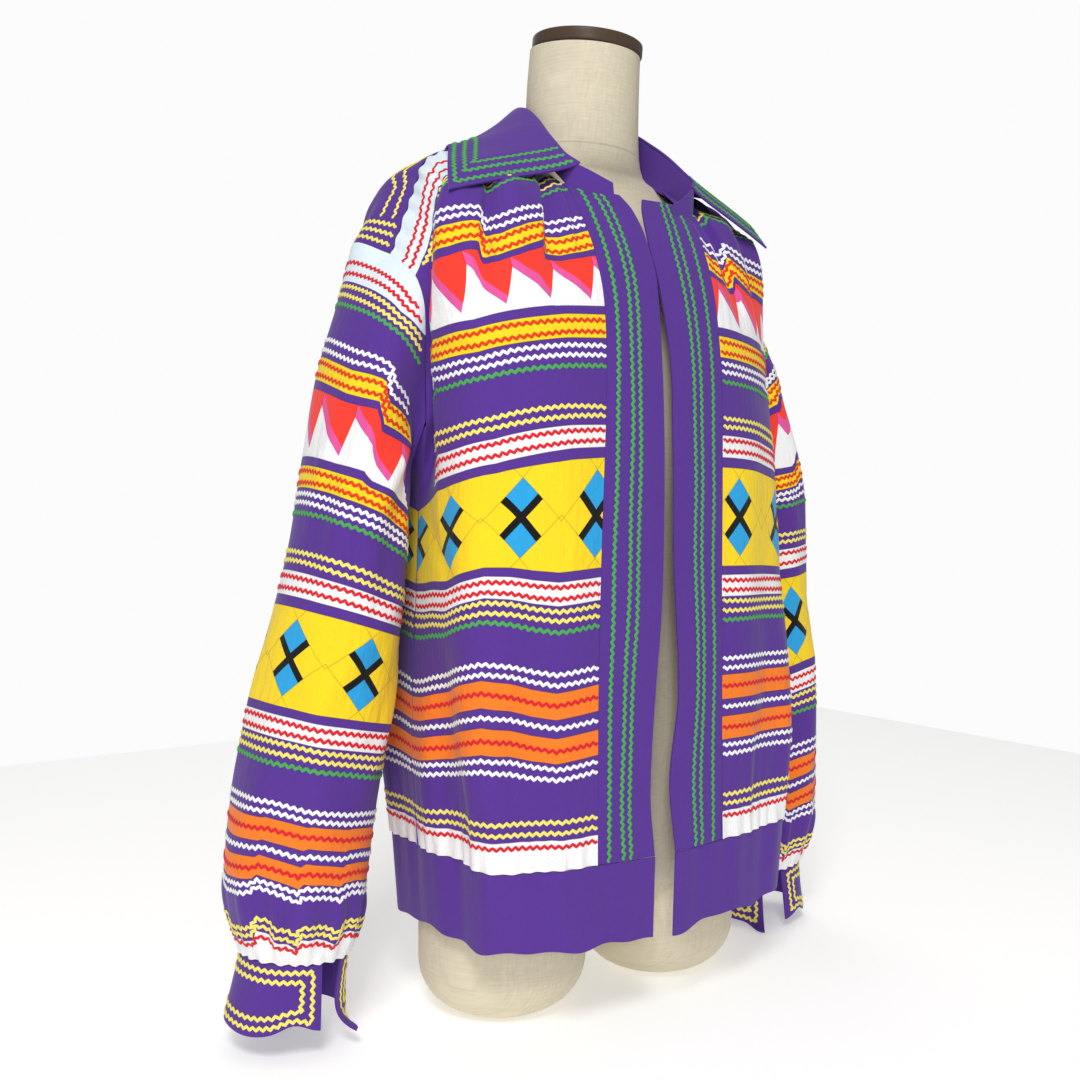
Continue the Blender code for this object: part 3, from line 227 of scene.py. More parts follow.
# Rings of the dress form's trunk and neck: height, half-width, front, back, roundness in plan.
FORM_RINGS = (
    (0.100, 0.1480, -0.074, 0.080, 2.3),
    (0.120, 0.1560, -0.082, 0.090, 2.3),
    (0.160, 0.1600, -0.088, 0.096, 2.3),
    (0.220, 0.1570, -0.090, 0.096, 2.3),
    (0.300, 0.1360, -0.088, 0.084, 2.3),
    (0.370, 0.1200, -0.086, 0.076, 2.3),
    (0.440, 0.1260, -0.094, 0.078, 2.3),
    (0.520, 0.1400, -0.106, 0.086, 2.3),
    (0.580, 0.1470, -0.106, 0.092, 2.4),
    (0.640, 0.1510, -0.090, 0.090, 2.4),
    (0.690, 0.1560, -0.070, 0.080, 2.2),
    (0.723, 0.1590, -0.056, 0.068, 2.0),
    (0.743, 0.1570, -0.046, 0.056, 1.8),
    (0.757, 0.1460, -0.040, 0.048, 1.65),
    (0.767, 0.1240, -0.038, 0.045, 1.6),
    (0.7743, 0.0960, -0.039, 0.046, 1.6),
    (0.780, 0.0708, -0.042, 0.050, 1.8),
    (0.792, 0.0600, -0.046, 0.054, 2.0),
    (0.820, 0.0565, -0.0490, 0.0565, 2.0),
    (0.860, 0.0550, -0.0535, 0.0535, 2.0),
    (0.8952, 0.0535, -0.0590, 0.0460, 2.0),
)

# Cuffs: shares of the sleeve where the cuff's two ends lie, flare, wave and shift
CUFF_UNDERLAP_SHARE = 0.355
CUFF_OVERLAP_SHARE = 0.275
CUFF_FLARE = 0.0035
CUFF_WAVE = 0.0012
CUFF_WAVE_START = 0.2
CUFF_CURL = 0.006
CUFF_OPEN_REACH = 0.10
CUFF_SHIFT = (0.004, 0.002, 0.0)
CUFF_SLOPE = 0.5
CUFF_INSET = 0.0015
CUFF_SEAM_GAP = 0.0010

# Small clearances and shapes of the bands
PLACKET_INSET = 0.0035
PLACKET_BOW = 0.001
PLACKET_WAVE = 0.0007
PLACKET_WAVE_RATE = 41.0
WAISTBAND_SMOOTHING = 12
WAISTBAND_TUCK = 0.975
WAISTBAND_DIP = 0.004
WAISTBAND_END = 0.05
NECKBAND_HEIGHT = 0.035
NECKBAND_CLEAR = 0.0030
GUSSET_TUCK = 0.0004
NECK_TILT_FROM = 0.830
STUMP_BACK = 0.0013
CAP_EDGE = 0.002
CAP_GAP = 0.0006

# Directions
LEVEL = np.array([1.0, 1.0, 0.0])
UP = np.array([0.0, 0.0, 1.0])
SIDES = ((-1, "right"), (1, "left"))

# Points along the guiding curves
LOFT_COLUMNS = 241
NORMAL_REACH = 0.004
QUARTER_POINTS = 160
CREASE_POINTS = 60
HALF_SECTION_POINTS = (198, 44)
NECK_POINTS = 60
LINE_POINTS = 90
ARMHOLE_POINTS = 61
GUSSET_POINTS = 31
GUSSET_EDGE_POINTS = 30
RING_POINTS = 181
WAIST_POINTS = 60
WAIST_END_POINTS = 12
COLLAR_CURVE_POINTS = 81
STUMP_BEND_POINTS = 14
CAP_BEND_POINTS = 5

# Cells of the plain pieces' grids, up or down and then across
GUSSET_CELLS = 24
PLACKET_CELLS = 16
WAISTBAND_CELLS = (18, 320)
CUFF_CELLS = (20, 90)
NECKBAND_CELLS = (10, 120)
COLLAR_CELLS = (40, 200)

# Shares left free at the seams, and the angle from which an edge of cloth is sharp
FRONT_EDGE_GAP = 0.0008
BACK_EDGE_GAP = 0.0004
GUSSET_GAP = 0.012
CLOTH_SHARP = math.radians(65.0)

# Powers that fade a fold and a pleat along their line, and round a crease
FOLD_FADE = 0.8
PLEAT_FADE = 0.6
CREASE_FADE = 1.2

# Fineness of the cloth grids, in metres
CLOTH_STEP = 0.0035
PLEAT_STEP = 0.0022
BAND_STEP = 0.0040

# Height at which a panel lies flat, so its width there is the cut's, and widths of the small pieces
FLAT_AT = 0.300
PLACKET_WIDTH = 0.066
WAISTBAND_LENGTH = 1.12
NECKBAND_LENGTH = 0.40
GUSSET_SIDE = 0.056

# Strips of a panel from the waistband or cuff seam up: from and to which height of the cloth, and
# colour. The ground is purple. The seams lie at their edges.
STRIPS = (
    (0.0000, 0.0250, "white"),
    (0.0930, 0.1150, "orange"),
    (0.1310, 0.1540, "orange"),
    (0.2280, 0.2480, "white"),
    (0.2560, 0.3430, "yellow"),
    (0.3520, 0.3720, "white"),
    (0.4450, 0.4650, "yellow"),
    (0.4730, 0.5280, "white"),
    (0.5350, 0.5540, "yellow"),
)
SHOULDER_FROM = 0.6220
JOINTS = sorted({edge for low, high, _ in STRIPS for edge in (low, high)} - {0.0})

# Rows of braid: height of the middle of the row on the cloth, colour, and its inset on the back.
BRAID_ROWS = (
    (0.02, "red"), (0.031, "lemon"), (0.04, "lemon"), (0.079, "white"), (0.088, "white"), (0.104, "red"),
    (0.1235, "white"), (0.143, "red"), (0.16, "white"), (0.169, "white"), (0.206, "green"),
    (0.215, "lemon"), (0.2235, "lemon"), (0.2335, "red"), (0.243, "red"), (0.358, "red"), (0.3675, "red"),
    (0.38, "lemon"), (0.388, "lemon"), (0.422, "green"), (0.431, "white"), (0.439, "white"),
    (0.45, "scarlet"), (0.46, "scarlet"), (0.54, "scarlet"), (0.5495, "scarlet"), (0.56, "white"),
    (0.568, "white"),
)
TOP_BRAID_ROWS = ((0.6, "green"), (0.6085, "lemon"), (0.617, "lemon"), (0.63, "red"), (0.64, "red"))
BACK_TOP_ROWS = (
    (0.6, "green", 0.095), (0.6085, "lemon", 0.095), (0.617, "lemon", 0.095), (0.6475, "lemon", 0.028),
    (0.6545, "lemon", 0.028),
)
ARMHOLE_ROWS = (0.007, 0.015, 0.023)
PLACKET_ROWS = (0.013, 0.029, 0.038)
COLLAR_ROWS = (0.006, 0.016, 0.026)
CUFF_ROWS = (0.0055, 0.0135)

# Braid, in metres
BRAID_PERIOD = 0.0064
BRAID_SWING = 0.0013
BRAID_BREADTH = 0.0028
BRAID_THICKNESS = 0.0010
BRAID_EDGE = 0.00025
BRAID_STATIONS = 4
BRAID_SAMPLES = 1500
BRAID_STEP = 0.0015
BRAID_WANDER = 0.0004
BRAID_WANDER_REACH = 0.021
BRAID_UNEVEN = (0.85, 1.15)
BRAID_SEEDS = {"front": 11, "back": 12, "sleeve": 15, "placket": 21, "cuff": 31, "collar": 41}
TURN = 6.28
ROW_POINTS = 200
ROW_STOP = 0.012
ROW_END = 0.004
ROW_BELOW_SEAM = 0.003
ARMHOLE_ROW_STOP = 0.002
ARMHOLE_ROW_POINTS = 30
PLACKET_ROW_STOP = 0.002
PLACKET_ROW_POINTS = 120
CUFF_ROW_GAP = 0.003
CUFF_ROW_POINTS = 161
COLLAR_ROW_START = 0.03
COLLAR_END_POINTS = 40
COLLAR_EDGE_POINTS = 160
BRAID_SETTINGS = (
    ("period", "Wave", "Length of one wave of the braid", BRAID_PERIOD, 0.003),
    ("swing", "Swing", "How far the middle swings to each side", BRAID_SWING, 0.0),
    ("breadth", "Breadth", "Breadth of the braid itself", BRAID_BREADTH, 0.0005),
    ("thickness", "Thickness", "How far the braid stands proud", BRAID_THICKNESS, 0.0002),
)

# Row of crossed diamonds
DIAMOND_MIDDLE = 0.2995
DIAMOND_HALF_WIDTH = 0.0138
DIAMOND_HALF_HEIGHT = 0.0150
DIAMOND_BAR = 0.312
DIAMOND_LOW = 0.2560
DIAMOND_HIGH = 0.3430

# Row of triangles
TRIANGLE_LOW = 0.4730
TRIANGLE_HIGH = 0.5280
TRIANGLE_PEAK = 0.80
TRIANGLE_TIP = 0.127
TRIANGLE_TIP_SHARE = 0.77
TRIANGLE_STRIPE = 0.200

# Where each panel's repeats start, and how long its triangles are, in metres along the panel
SHIFT_SOCKETS = ("Diamond shift", "Diamond period", "Triangle shift", "Triangle period")
SHIFTS = {
    "right_front": (0.0412, 0.0680, 0.0050, 0.0390),
    "left_front": (0.0202, 0.0820, 0.0305, 0.0390),
    "back": (0.0581, 0.0680, 0.0100, 0.0420),
    "right_sleeve": (0.0050, 0.0680, 0.0420, 0.0470),
    "left_sleeve": (0.0580, 0.0680, 0.0436, 0.0470),
}

# Seams between patches: half-width in half squares, place and half-width in a repeat, half-width
# in metres, and how much darker their colour is painted: painted shade in the seams' grooves
PATCH_SEAM = 0.03
PEAK_SEAM = (0.985, 0.007)
JOINT_HALF = 0.00035
JOINT_PAINTED_SHADE = 0.32

# Weave: waves a metre along both threads, of the mottling and of the puckers, the factor and
# offset of each shade, relief and puckers
THREAD_SCALES = (1300.0, 170.0)
THREAD_SHADE = (0.14, 0.86)
THREAD_RELIEF = 0.10
MOTTLE_SCALES = (24.0, 24.0)
MOTTLE_SHADE = (0.10, 0.95)
PUCKER_SCALES = (150.0, 30.0)
PURPLE_PUCKERS = 0.35
PLAIN_PUCKERS = 0.25
SPECULAR = 0.25
COTTON_ROUGHNESS = 0.85
COTTON_SHEEN = 0.12
COTTON_RELIEF = 0.0016
BRAID_ROUGHNESS = 0.8
BRAID_SHEEN = 0.1
BRAID_GRAIN = 1500.0
BRAID_SHADE = (0.24, 0.88)
LINEN_SHEEN = 0.05
LINEN_SLANT = 0.6
LINEN_WEAVE = 0.6
LINEN_PUCKERS = 0.05
LINEN_RELIEF = 0.0006
SLUB_SCALES = (420.0, 46.0)
CROSS_SCALES = (60.0, 500.0)
SLUB_SHADE = (0.20, 0.80)
CAP_ROUGHNESS = 0.4
FLOOR_ROUGHNESS = 0.9

# Colours as seen (sRGB)
SEEN_COLOURS = {
    "purple": (0.333, 0.188, 0.561),
    "yellow": (0.973, 0.835, 0.118),
    "lemon": (0.953, 0.894, 0.431),
    "green": (0.294, 0.647, 0.314),
    "red": (0.847, 0.118, 0.176),
    "scarlet": (0.882, 0.235, 0.078),
    "coral": (0.980, 0.235, 0.176),
    "pink": (0.882, 0.333, 0.608),
    "orange": (0.961, 0.490, 0.137),
    "blue": (0.157, 0.627, 0.863),
    "black": (0.035, 0.035, 0.045),
    "white": (0.950, 0.950, 0.950),
    "ice": (0.882, 0.933, 0.961),
    "linen": (0.843, 0.804, 0.706),
    "cap": (0.300, 0.240, 0.190),
    "floor": (0.960, 0.960, 0.955),
}

# More creases than the solids carry, laid out as the fold tables are.
FRONT_CREASES = (
    (0.420, 0.300, 0.485, 0.665, 0.0028, 0.0065, -2.4),
    (0.215, 0.060, 0.490, 0.665, 0.0028, 0.0065, -2.4),
    (0.075, 0.010, 0.510, 0.650, 0.0020, 0.0060, -2.0),
    (0.640, 0.560, 0.500, 0.665, 0.0022, 0.0080, -2.0),
    (0.200, 0.240, 0.000, 0.120, 0.0028, 0.0080, 0.8),
    (0.400, 0.420, 0.000, 0.150, 0.0030, 0.0090, -0.8),
    (0.600, 0.640, 0.000, 0.110, 0.0028, 0.0080, 0.6),
    (0.780, 0.800, 0.000, 0.140, 0.0026, 0.0090, 0.0),
    (0.620, 0.900, 0.230, 0.330, 0.0022, 0.0120, 0.0),
    (0.350, 0.550, 0.260, 0.330, 0.0018, 0.0110, 0.0),
    (0.300, 0.350, 0.080, 0.430, 0.0032, 0.0200, 0.0),
    (0.600, 0.560, 0.060, 0.400, -0.0038, 0.0240, 0.0),
    (0.120, 0.140, 0.120, 0.360, -0.0026, 0.0180, 0.0),
    (0.200, 0.700, 0.400, 0.470, 0.0018, 0.0140, 0.0),
)
BACK_CREASES = (
    (0.080, 0.060, 0.560, 0.655, 0.0025, 0.0080, 0.8),
    (0.260, 0.200, 0.570, 0.655, 0.0026, 0.0090, -0.8),
    (0.440, 0.360, 0.540, 0.655, 0.0028, 0.0090, 0.8),
    (0.700, 0.900, 0.300, 0.460, 0.0040, 0.0180, 0.0),
    (0.300, 0.320, 0.000, 0.150, 0.0030, 0.0090, 0.8),
    (0.520, 0.500, 0.000, 0.120, 0.0028, 0.0090, -0.8),
    (0.700, 0.690, 0.000, 0.140, 0.0028, 0.0090, 0.6),
)
SLEEVE_CREASES = (
    (0.200, 0.300, 0.420, 0.600, 0.0035, 0.0100, 0.8),
    (0.050, 0.110, 0.400, 0.600, 0.0028, 0.0110, -0.6),
    (0.300, 0.420, 0.180, 0.330, 0.0035, 0.0120, 0.6),
    (0.150, 0.330, 0.250, 0.380, 0.0030, 0.0120, 0.0),
    (0.700, 0.580, 0.200, 0.360, 0.0035, 0.0140, 0.0),
    (0.950, 0.830, 0.220, 0.400, 0.0030, 0.0150, 0.0),
    (0.030, 0.120, 0.120, 0.240, 0.0028, 0.0120, 0.0),
    (0.140, 0.150, 0.000, 0.080, 0.0045, 0.0060, 1.4),
    (0.280, 0.290, 0.000, 0.090, 0.0045, 0.0060, 1.4),
    (0.420, 0.430, 0.000, 0.080, 0.0040, 0.0060, -1.2),
    (0.520, 0.520, 0.000, 0.090, 0.0040, 0.0060, 1.2),
    (0.700, 0.690, 0.000, 0.080, 0.0045, 0.0060, -1.4),
    (0.900, 0.900, 0.000, 0.090, 0.0045, 0.0060, 1.4),
)

# Small gathers beside a seam: spacing, reach up the cloth, depth and seed, and how they wander
WAIST_GATHERS = (0.0170, 0.034, 0.0012, 3)
CUFF_GATHERS = (0.0150, 0.030, 0.0016, 5)
NECK_GATHERS = (0.0160, 0.040, 0.0010, 7)
GATHER_WANDER = (0.2, 0.5)
GATHER_SCALES = (0.7, 1.3, 2.9)

# How strips run into the armhole's crease: the cloth height that shows at one height of the
# crease, its change with height, and the part of the inner side's drop that is tucked away.
CREASE_STRIP = 0.622
CREASE_HEIGHT = 0.603
CREASE_RATE = 0.95
SLACK_TUCKED = 0.70

# Slack taken up in pleats: how much lower the strips show, by share of the width, then how
# much of it counts by cloth height, and how the shares lean with height.
FRONT_SLACK = (
    (0.0, 0.009), (0.055, 0.014), (0.12, 0.019), (0.18, 0.016), (0.192, 0.003), (0.27, 0.015),
    (0.335, 0.02), (0.392, 0.015), (0.404, 0.002), (0.445, 0.0), (0.5, 0.002), (0.58, 0.0), (1.0, 0.0),
)
FRONT_SLACK_PART = ((0.473, 0.0), (0.525, 1.0), (0.568, 0.6), (0.659, 0.5))
FRONT_SLACK_LEAN = (0.528, 0.90)
LOW_TILT = (
    (0.0, -0.003), (0.2, 0.002), (0.3, -0.002), (0.4, -0.009), (0.5, -0.013), (0.6, -0.008), (0.72, 0.0),
    (0.82, 0.004), (0.92, 0.009), (1.0, 0.01),
)
BACK_TILT = ((0.0, 0.01), (0.05, 0.007), (0.12, 0.002), (0.2, 0.0), (1.0, 0.0))
EDGE_LIFT = ((0.0, 0.0), (0.72, 0.0), (0.85, -0.005), (1.0, -0.007))
EDGE_LIFT_PART = ((0.17, 0.0), (0.22, 1.0), (0.3, 1.0), (0.343, 0.3), (0.36, 0.0))
LOW_TILT_PART = (
    (0.0, 0.0), (0.045, 0.2), (0.09, 0.8), (0.16, 1.0), (0.24, 0.7), (0.29, 0.4), (0.34, 0.1),
    (0.37, 0.0),
)
FRONT_TILT = (
    (0.0, -0.007), (0.15, -0.004), (0.3, 0.002), (0.45, 0.008), (0.6, 0.006), (0.76, 0.0), (1.0, 0.0),
)
FRONT_TILT_PART = (
    (0.3, 0.0), (0.35, 0.7), (0.39, 0.4), (0.44, 0.8), (0.485, 1.0), (0.53, 0.2), (0.56, 0.0),
)
SLEEVE_SLACK = (
    (0.0, 0.0), (0.1, 0.002), (0.176, -0.003), (0.19, 0.014), (0.26, 0.01), (0.4, 0.0), (0.6, 0.0),
    (0.7, 0.003), (0.8, 0.01), (0.812, -0.003), (0.9, 0.0), (1.0, 0.0),
)
SLEEVE_SLACK_PART = ((0.455, 0.0), (0.51, 1.0), (0.56, 0.9), (0.61, 0.0))
CUFF_SLACK = (
    (0.0, 0.015), (0.03, 0.012), (0.09, 0.003), (0.098, -0.009), (0.15, -0.002), (0.197, 0.008),
    (0.205, -0.005), (0.25, -0.003), (0.292, 0.004), (0.3, -0.005), (0.34, -0.008), (0.4, 0.002),
    (0.48, 0.006), (0.488, -0.006), (0.6, 0.005), (0.69, 0.008), (0.698, -0.006), (0.78, 0.004),
    (0.85, 0.008), (0.858, 0.0), (0.93, 0.01), (1.0, 0.015),
)
CUFF_SLACK_PART = ((0.0, 0.0), (0.02, 0.8), (0.035, 1.0), (0.09, 0.5), (0.14, 0.15), (0.2, 0.0))
LEFT_RISE = (
    (0.0, 0.0), (0.04, 0.004), (0.1, 0.0), (0.16, -0.006), (0.25, -0.013), (0.325, -0.025),
    (0.42, -0.036), (0.5, -0.042), (0.56, -0.05), (0.61, -0.042), (0.659, -0.012),
)
LEFT_LEVEL = ((0.3, 0.0), (0.42, 0.017), (0.6, 0.017), (0.659, 0.008))
SLEEVE_SLACK_LEAN = (0.500, 0.20)
BACK_SLACK = (
    (0.0, 0.0), (0.1, 0.004), (0.15, 0.01), (0.158, -0.002), (0.3, 0.003), (0.38, 0.009), (0.388, -0.002),
    (0.5, 0.003), (0.61, 0.01), (0.618, -0.002), (0.76, 0.006), (0.84, 0.01), (0.848, 0.0), (1.0, 0.0),
)

# The shifts of each piece's strips: slack, part and lean
UPRIGHT = (0.0, 0.0)
EDGE_SHIFTS = ((EDGE_LIFT, EDGE_LIFT_PART, UPRIGHT),)
LEFT_SHIFTS = ((FRONT_SLACK, FRONT_SLACK_PART, FRONT_SLACK_LEAN),)
RIGHT_SHIFTS = (*LEFT_SHIFTS, (FRONT_TILT, FRONT_TILT_PART, UPRIGHT), (LOW_TILT, LOW_TILT_PART, UPRIGHT),
                *EDGE_SHIFTS)
BACK_SHIFTS = ((BACK_SLACK, FRONT_SLACK_PART, UPRIGHT), (BACK_TILT, LOW_TILT_PART, UPRIGHT))
SLEEVE_SHIFTS = ((SLEEVE_SLACK, SLEEVE_SLACK_PART, SLEEVE_SLACK_LEAN), (CUFF_SLACK, CUFF_SLACK_PART, UPRIGHT))

# Where cloth beside the armhole shows plain purple, from this share on: on the sleeves the purple
# of the underarm, on the fronts partly that purple and partly painted shade of the armhole's crease.
SLEEVE_UNDERARM = (
    (0.46, 0.4), (0.473, 0.34), (0.5, 0.3), (0.528, 0.28), (0.568, 0.262), (0.6, 0.262), (0.63, 0.28),
    (0.659, 0.3),
)
# On the fronts the plain purple reaches into the armhole's crease, partly as painted shade.
FRONT_UNDERARM = ((0.343, 1.01), (0.346, 0.82), (0.375, 0.79), (0.61, 0.8), (0.62, 1.01))
LEFT_UNDERARM = (
    (0.343, 1.01), (0.346, 0.9), (0.45, 0.82), (0.528, 0.74), (0.6, 0.74), (0.612, 0.78), (0.62, 1.01),
)
UNDERARM_LEVEL = 0.590
UNDERARM_RUN = 0.1
FADE = 0.010
# Plain purple at the back's sides beside the gussets: painted shade of the hollow under the arms.
BACK_PAINTED_SHADE_SHARE = 0.055
BACK_PAINTED_SHADE_FROM = 0.345
LEFT_NECK_PLAIN = ((0.6, 0.0), (0.606, 0.4), (0.618, 0.4), (0.626, 0.56))
ARMHOLE_TUCK = 0.0007

# Pleats that fold over their neighbour, laid out as the fold tables are. The depth is how far the
# cloth beside the fold laps over, as a negative.
PLEATS = (
    (0.460, 0.330, 0.480, 0.690, -0.0050, 0.0050, 0.0),
    (0.245, 0.085, 0.485, 0.690, -0.0050, 0.0050, 0.0),
    (0.095, 0.030, 0.500, 0.690, -0.0030, 0.0045, 0.0),
)

# How much rounder the left front's corner is, by cloth height
LEFT_CORNER = (
    (0.1, 0.0), (0.256, 0.12), (0.343, 0.25), (0.4, 0.38), (0.445, 0.52), (0.485, 0.6), (0.528, 0.72),
    (0.565, 0.62), (0.592, 0.42), (0.615, 0.2), (0.637, 0.0),
)

# The fuller head of the left sleeve, laid out as the fold tables are
LEFT_PUFF = ((-0.020, -0.020, 0.450, 0.655, -0.0110, 0.0550, 0.0),)

# Shapes that only the look needs
COLLAR_HOLLOW_SPOT = (0.36, 0.622)
COLLAR_HOLLOW_REACH = (0.30, 0.023)
COLLAR_HOLLOW_DEPTH = 0.013
CUFF_CURL_OUT = 0.024
CUFF_CURL_REACH = 0.05
CUFF_CURL_POWER = 6
CUFF_HOLLOW_POWER = 1.5
CUFF_LAP_IN = 0.016
CUFF_LAP_REACH = 0.10
CUFF_CORNER_OUT = 0.004
CUFF_CORNER = 0.66
CUFF_CORNER_REACH = 0.10
CUFF_HOLLOWS = ((0.925, 0.05, 0.008), (0.77, 0.08, -0.004), (0.0, 0.06, -0.006))
HEM_WAVES = ((0.0020, 61.0, 0.0), (0.0013, 137.0, 1.0))
WAISTBAND_RIPPLES = ((0.0009, 96.0, 0.0), (0.0007, 211.0, 1.0))
RIPPLE_LOSS = 0.6
STUMP_SIDE_PROFILE = ((STUMP_RADIUS, STUMP_TOP * 0.6), (STUMP_RADIUS * 0.93, STUMP_TOP))
FORM_SHARP = math.radians(40.0)
CAP_SHARP = math.radians(50.0)
FORM_SEAM_SHADE = 0.14
FORM_SIDES = 96
FORM_SEAM_HEIGHT = 0.797
FORM_SEAM_HALF = 0.0006
FORM_LEVELS = 90
STUMP_SIDES = 72
CAP_SIDES = 96

# Camera at the photograph's place: its spot, heading, lens and shift
CAMERA_SPOT = (-0.6414, -0.9200, 0.4450)
CAMERA_HEADING = math.radians(-35.0)
CAMERA_LENS = 38.67
CAMERA_SENSOR = 36.0
CAMERA_SHIFT = (-0.0398, -0.0185)

# Stage: the lights are name, x, y, z, size and watts
FLOOR_SIZE = 2.8
FLOOR_GLOW = 0.34
WORLD_LIGHT = 0.34
WORLD_SEEN = 0.97
BRIGHT = (1.0, 1.0, 1.0, 1.0)
LIGHT_AIM = (0.0, 0.0, 0.45)
LIGHTS = (
    ("key", -1.42, -1.81, 2.60, 0.9, 50.0),
    ("front", -1.45, -2.05, 0.90, 0.5, 15.0),
    ("back", 0.8, 2.4, 2.2, 2.0, 12.0),
)


def linear(colour):
    """Linear colour of a seen one: each channel to the power 2.4 after the usual offset."""
    seen = np.asarray(colour)
    return tuple(float(c) for c in np.where(seen <= 0.04045, seen / 12.92, ((seen + 0.055) / 1.055) ** 2.4))


def read(table, at):
    """Straight reading of a table of (place, value) pairs."""
    return np.interp(at, *zip(*table))


def bell(off):
    """One at zero, dying away on both sides: e to the minus square."""
    return np.exp(-np.asarray(off) ** 2)


def even_slopes(stations, values):
    """Slopes at the stations for a curve that never swings past its values."""
    gap = np.diff(stations).reshape((-1,) + (1,) * (values.ndim - 1))
    secant = np.diff(values, axis=0) / gap
    before, after = secant[:-1], secant[1:]
    first, second = 2 * gap[1:] + gap[:-1], gap[1:] + 2 * gap[:-1]
    same = before * after > 0
    spread = first / np.where(same, before, 1.0) + second / np.where(same, after, 1.0)
    inner = np.where(same, (first + second) / spread, 0.0)
    return np.concatenate((secant[:1], inner, secant[-1:]))


def station_below(stations, at):
    """Number of the station under each place, never the last one."""
    return np.clip(np.searchsorted(stations, at, side="right") - 1, 0, len(stations) - 2)


def cubic(step, gap, low, low_slope, high, high_slope):
    """Cubic at a share of the gap between two stations, from their values and slopes."""
    start = (1 + 2 * step) * (1 - step) ** 2 * low + step * (1 - step) ** 2 * gap * low_slope
    end = step ** 2 * (3 - 2 * step) * high - step ** 2 * (1 - step) * gap * high_slope
    return start + end


def smooth(stations, values, at):
    """Cubic curve through values at uneven stations, read at `at`."""
    stations, values, at = (np.asarray(item, dtype=float) for item in (stations, values, at))
    slopes = even_slopes(stations, values)
    low = station_below(stations, at)
    shape = at.shape + (1,) * (values.ndim - 1)
    gap = (stations[low + 1] - stations[low]).reshape(shape)
    step = (at - stations[low]).reshape(shape) / gap
    return cubic(step, gap, values[low], slopes[low], values[low + 1], slopes[low + 1])


def lengths(points):
    """Distance along a polyline at each of its points."""
    steps = np.linalg.norm(np.diff(points, axis=0), axis=1)
    return np.concatenate(([0.0], np.cumsum(steps)))


def resample(points, shares):
    """Points, or rows that start with a point, of a polyline at shares of its length."""
    run = lengths(points[:, 0:3])
    spots = np.asarray(shares) * run[-1]
    return np.stack([np.interp(spots, run, points[:, k]) for k in range(points.shape[1])], axis=-1)


def smooth_line(points):
    """A few points joined by a smooth curve."""
    run = lengths(points)
    return smooth(run, points, np.linspace(0.0, run[-1], LINE_POINTS))


def unit(vectors):
    """Vectors scaled to length one."""
    return vectors / np.maximum(np.linalg.norm(vectors, axis=-1, keepdims=True), 1e-9)


class Loft:
    """Surface through section curves: `at(height, share)` with share by length along a section."""

    def __init__(self, heights, sections, outward, top=None):
        rows = [resample(section, np.linspace(0.0, 1.0, LOFT_COLUMNS)) for section in sections]
        if top is not None:
            rows.append(top)
        self.heights = np.asarray(heights, dtype=float)
        self.rows = np.stack(rows)
        self.slopes = even_slopes(self.heights, self.rows)
        self.widths = np.array([lengths(row)[-1] for row in rows])
        self.outward = outward

    def width(self, height):
        """Length of the section at a cloth height."""
        return smooth(self.heights, self.widths, height)

    def at(self, height, share):
        """Cubic between the sections up the cloth, straight between their points across it."""
        height, share = np.broadcast_arrays(height, share)
        low = station_below(self.heights, height)
        gap = (self.heights[low + 1] - self.heights[low])[..., None]
        step = (height - self.heights[low])[..., None] / gap
        place = np.clip(share, 0.0, 1.0) * (LOFT_COLUMNS - 1)
        left = np.minimum(place.astype(int), LOFT_COLUMNS - 2)
        part = (place - left)[..., None]
        ends = (table[row, left] * (1 - part) + table[row, left + 1] * part
                for row in (low, low + 1) for table in (self.rows, self.slopes))
        return cubic(step, gap, *ends)

    def normal(self, height, share):
        """Unit cross product of short steps across and up."""
        across = self.at(height, share + NORMAL_REACH) - self.at(height, share - NORMAL_REACH)
        up = self.at(height + NORMAL_REACH, share) - self.at(height - NORMAL_REACH, share)
        return unit(np.cross(across, up)) * self.outward


def half_section(near, crest, side, crease, squareness):
    """Half of a section: a rounded quarter to the crest, then the crease and on to the side.

    The quarter leaves along X by a sine and arrives along Y and Z by a cosine, both to a power.
    """
    near, crest, side = (np.asarray(point, dtype=float) for point in (near, crest, side))
    turn = np.linspace(0.0, math.pi / 2, QUARTER_POINTS)
    back = np.cos(turn) ** squareness
    front = crest + (near - crest) * np.stack([1 - np.sin(turn) ** squareness, back, back], 1)
    turn = np.linspace(0.0, 1.0, CREASE_POINTS)[:, None]
    rest = crest * (1 - turn) + side * turn
    rest[:, 0] -= crease * np.sin(math.pi * turn[:, 0]) ** CREASE_FADE
    first, second = (resample(line, np.linspace(0.0, 1.0, count))
                     for line, count in zip((front, rest), HALF_SECTION_POINTS))
    return np.concatenate((first[:-1], second))


def sway(heights):
    """Shift along X of the body at the given cloth heights."""
    return smooth(*zip(*SWAY), heights)


def front_half(row, side):
    """Half section of one row of the front table; side is -1 or 1."""
    near = (row[1] if side < 0 else row[2], row[3], row[4])
    corner = row[12] + (read(LEFT_CORNER, row[0]) if side > 0 else 0.0)
    section = half_section(near, row[5:8], row[8:11], row[11], corner) * (side, 1.0, 1.0)
    section[:, 0] += sway(row[0])
    return section


def front_loft(side):
    """Loft of one front panel from its placket seam or neckline to its side; side is -1 or 1."""
    return Loft([row[0] for row in FRONT_SECTIONS], [front_half(row, side) for row in FRONT_SECTIONS], side)


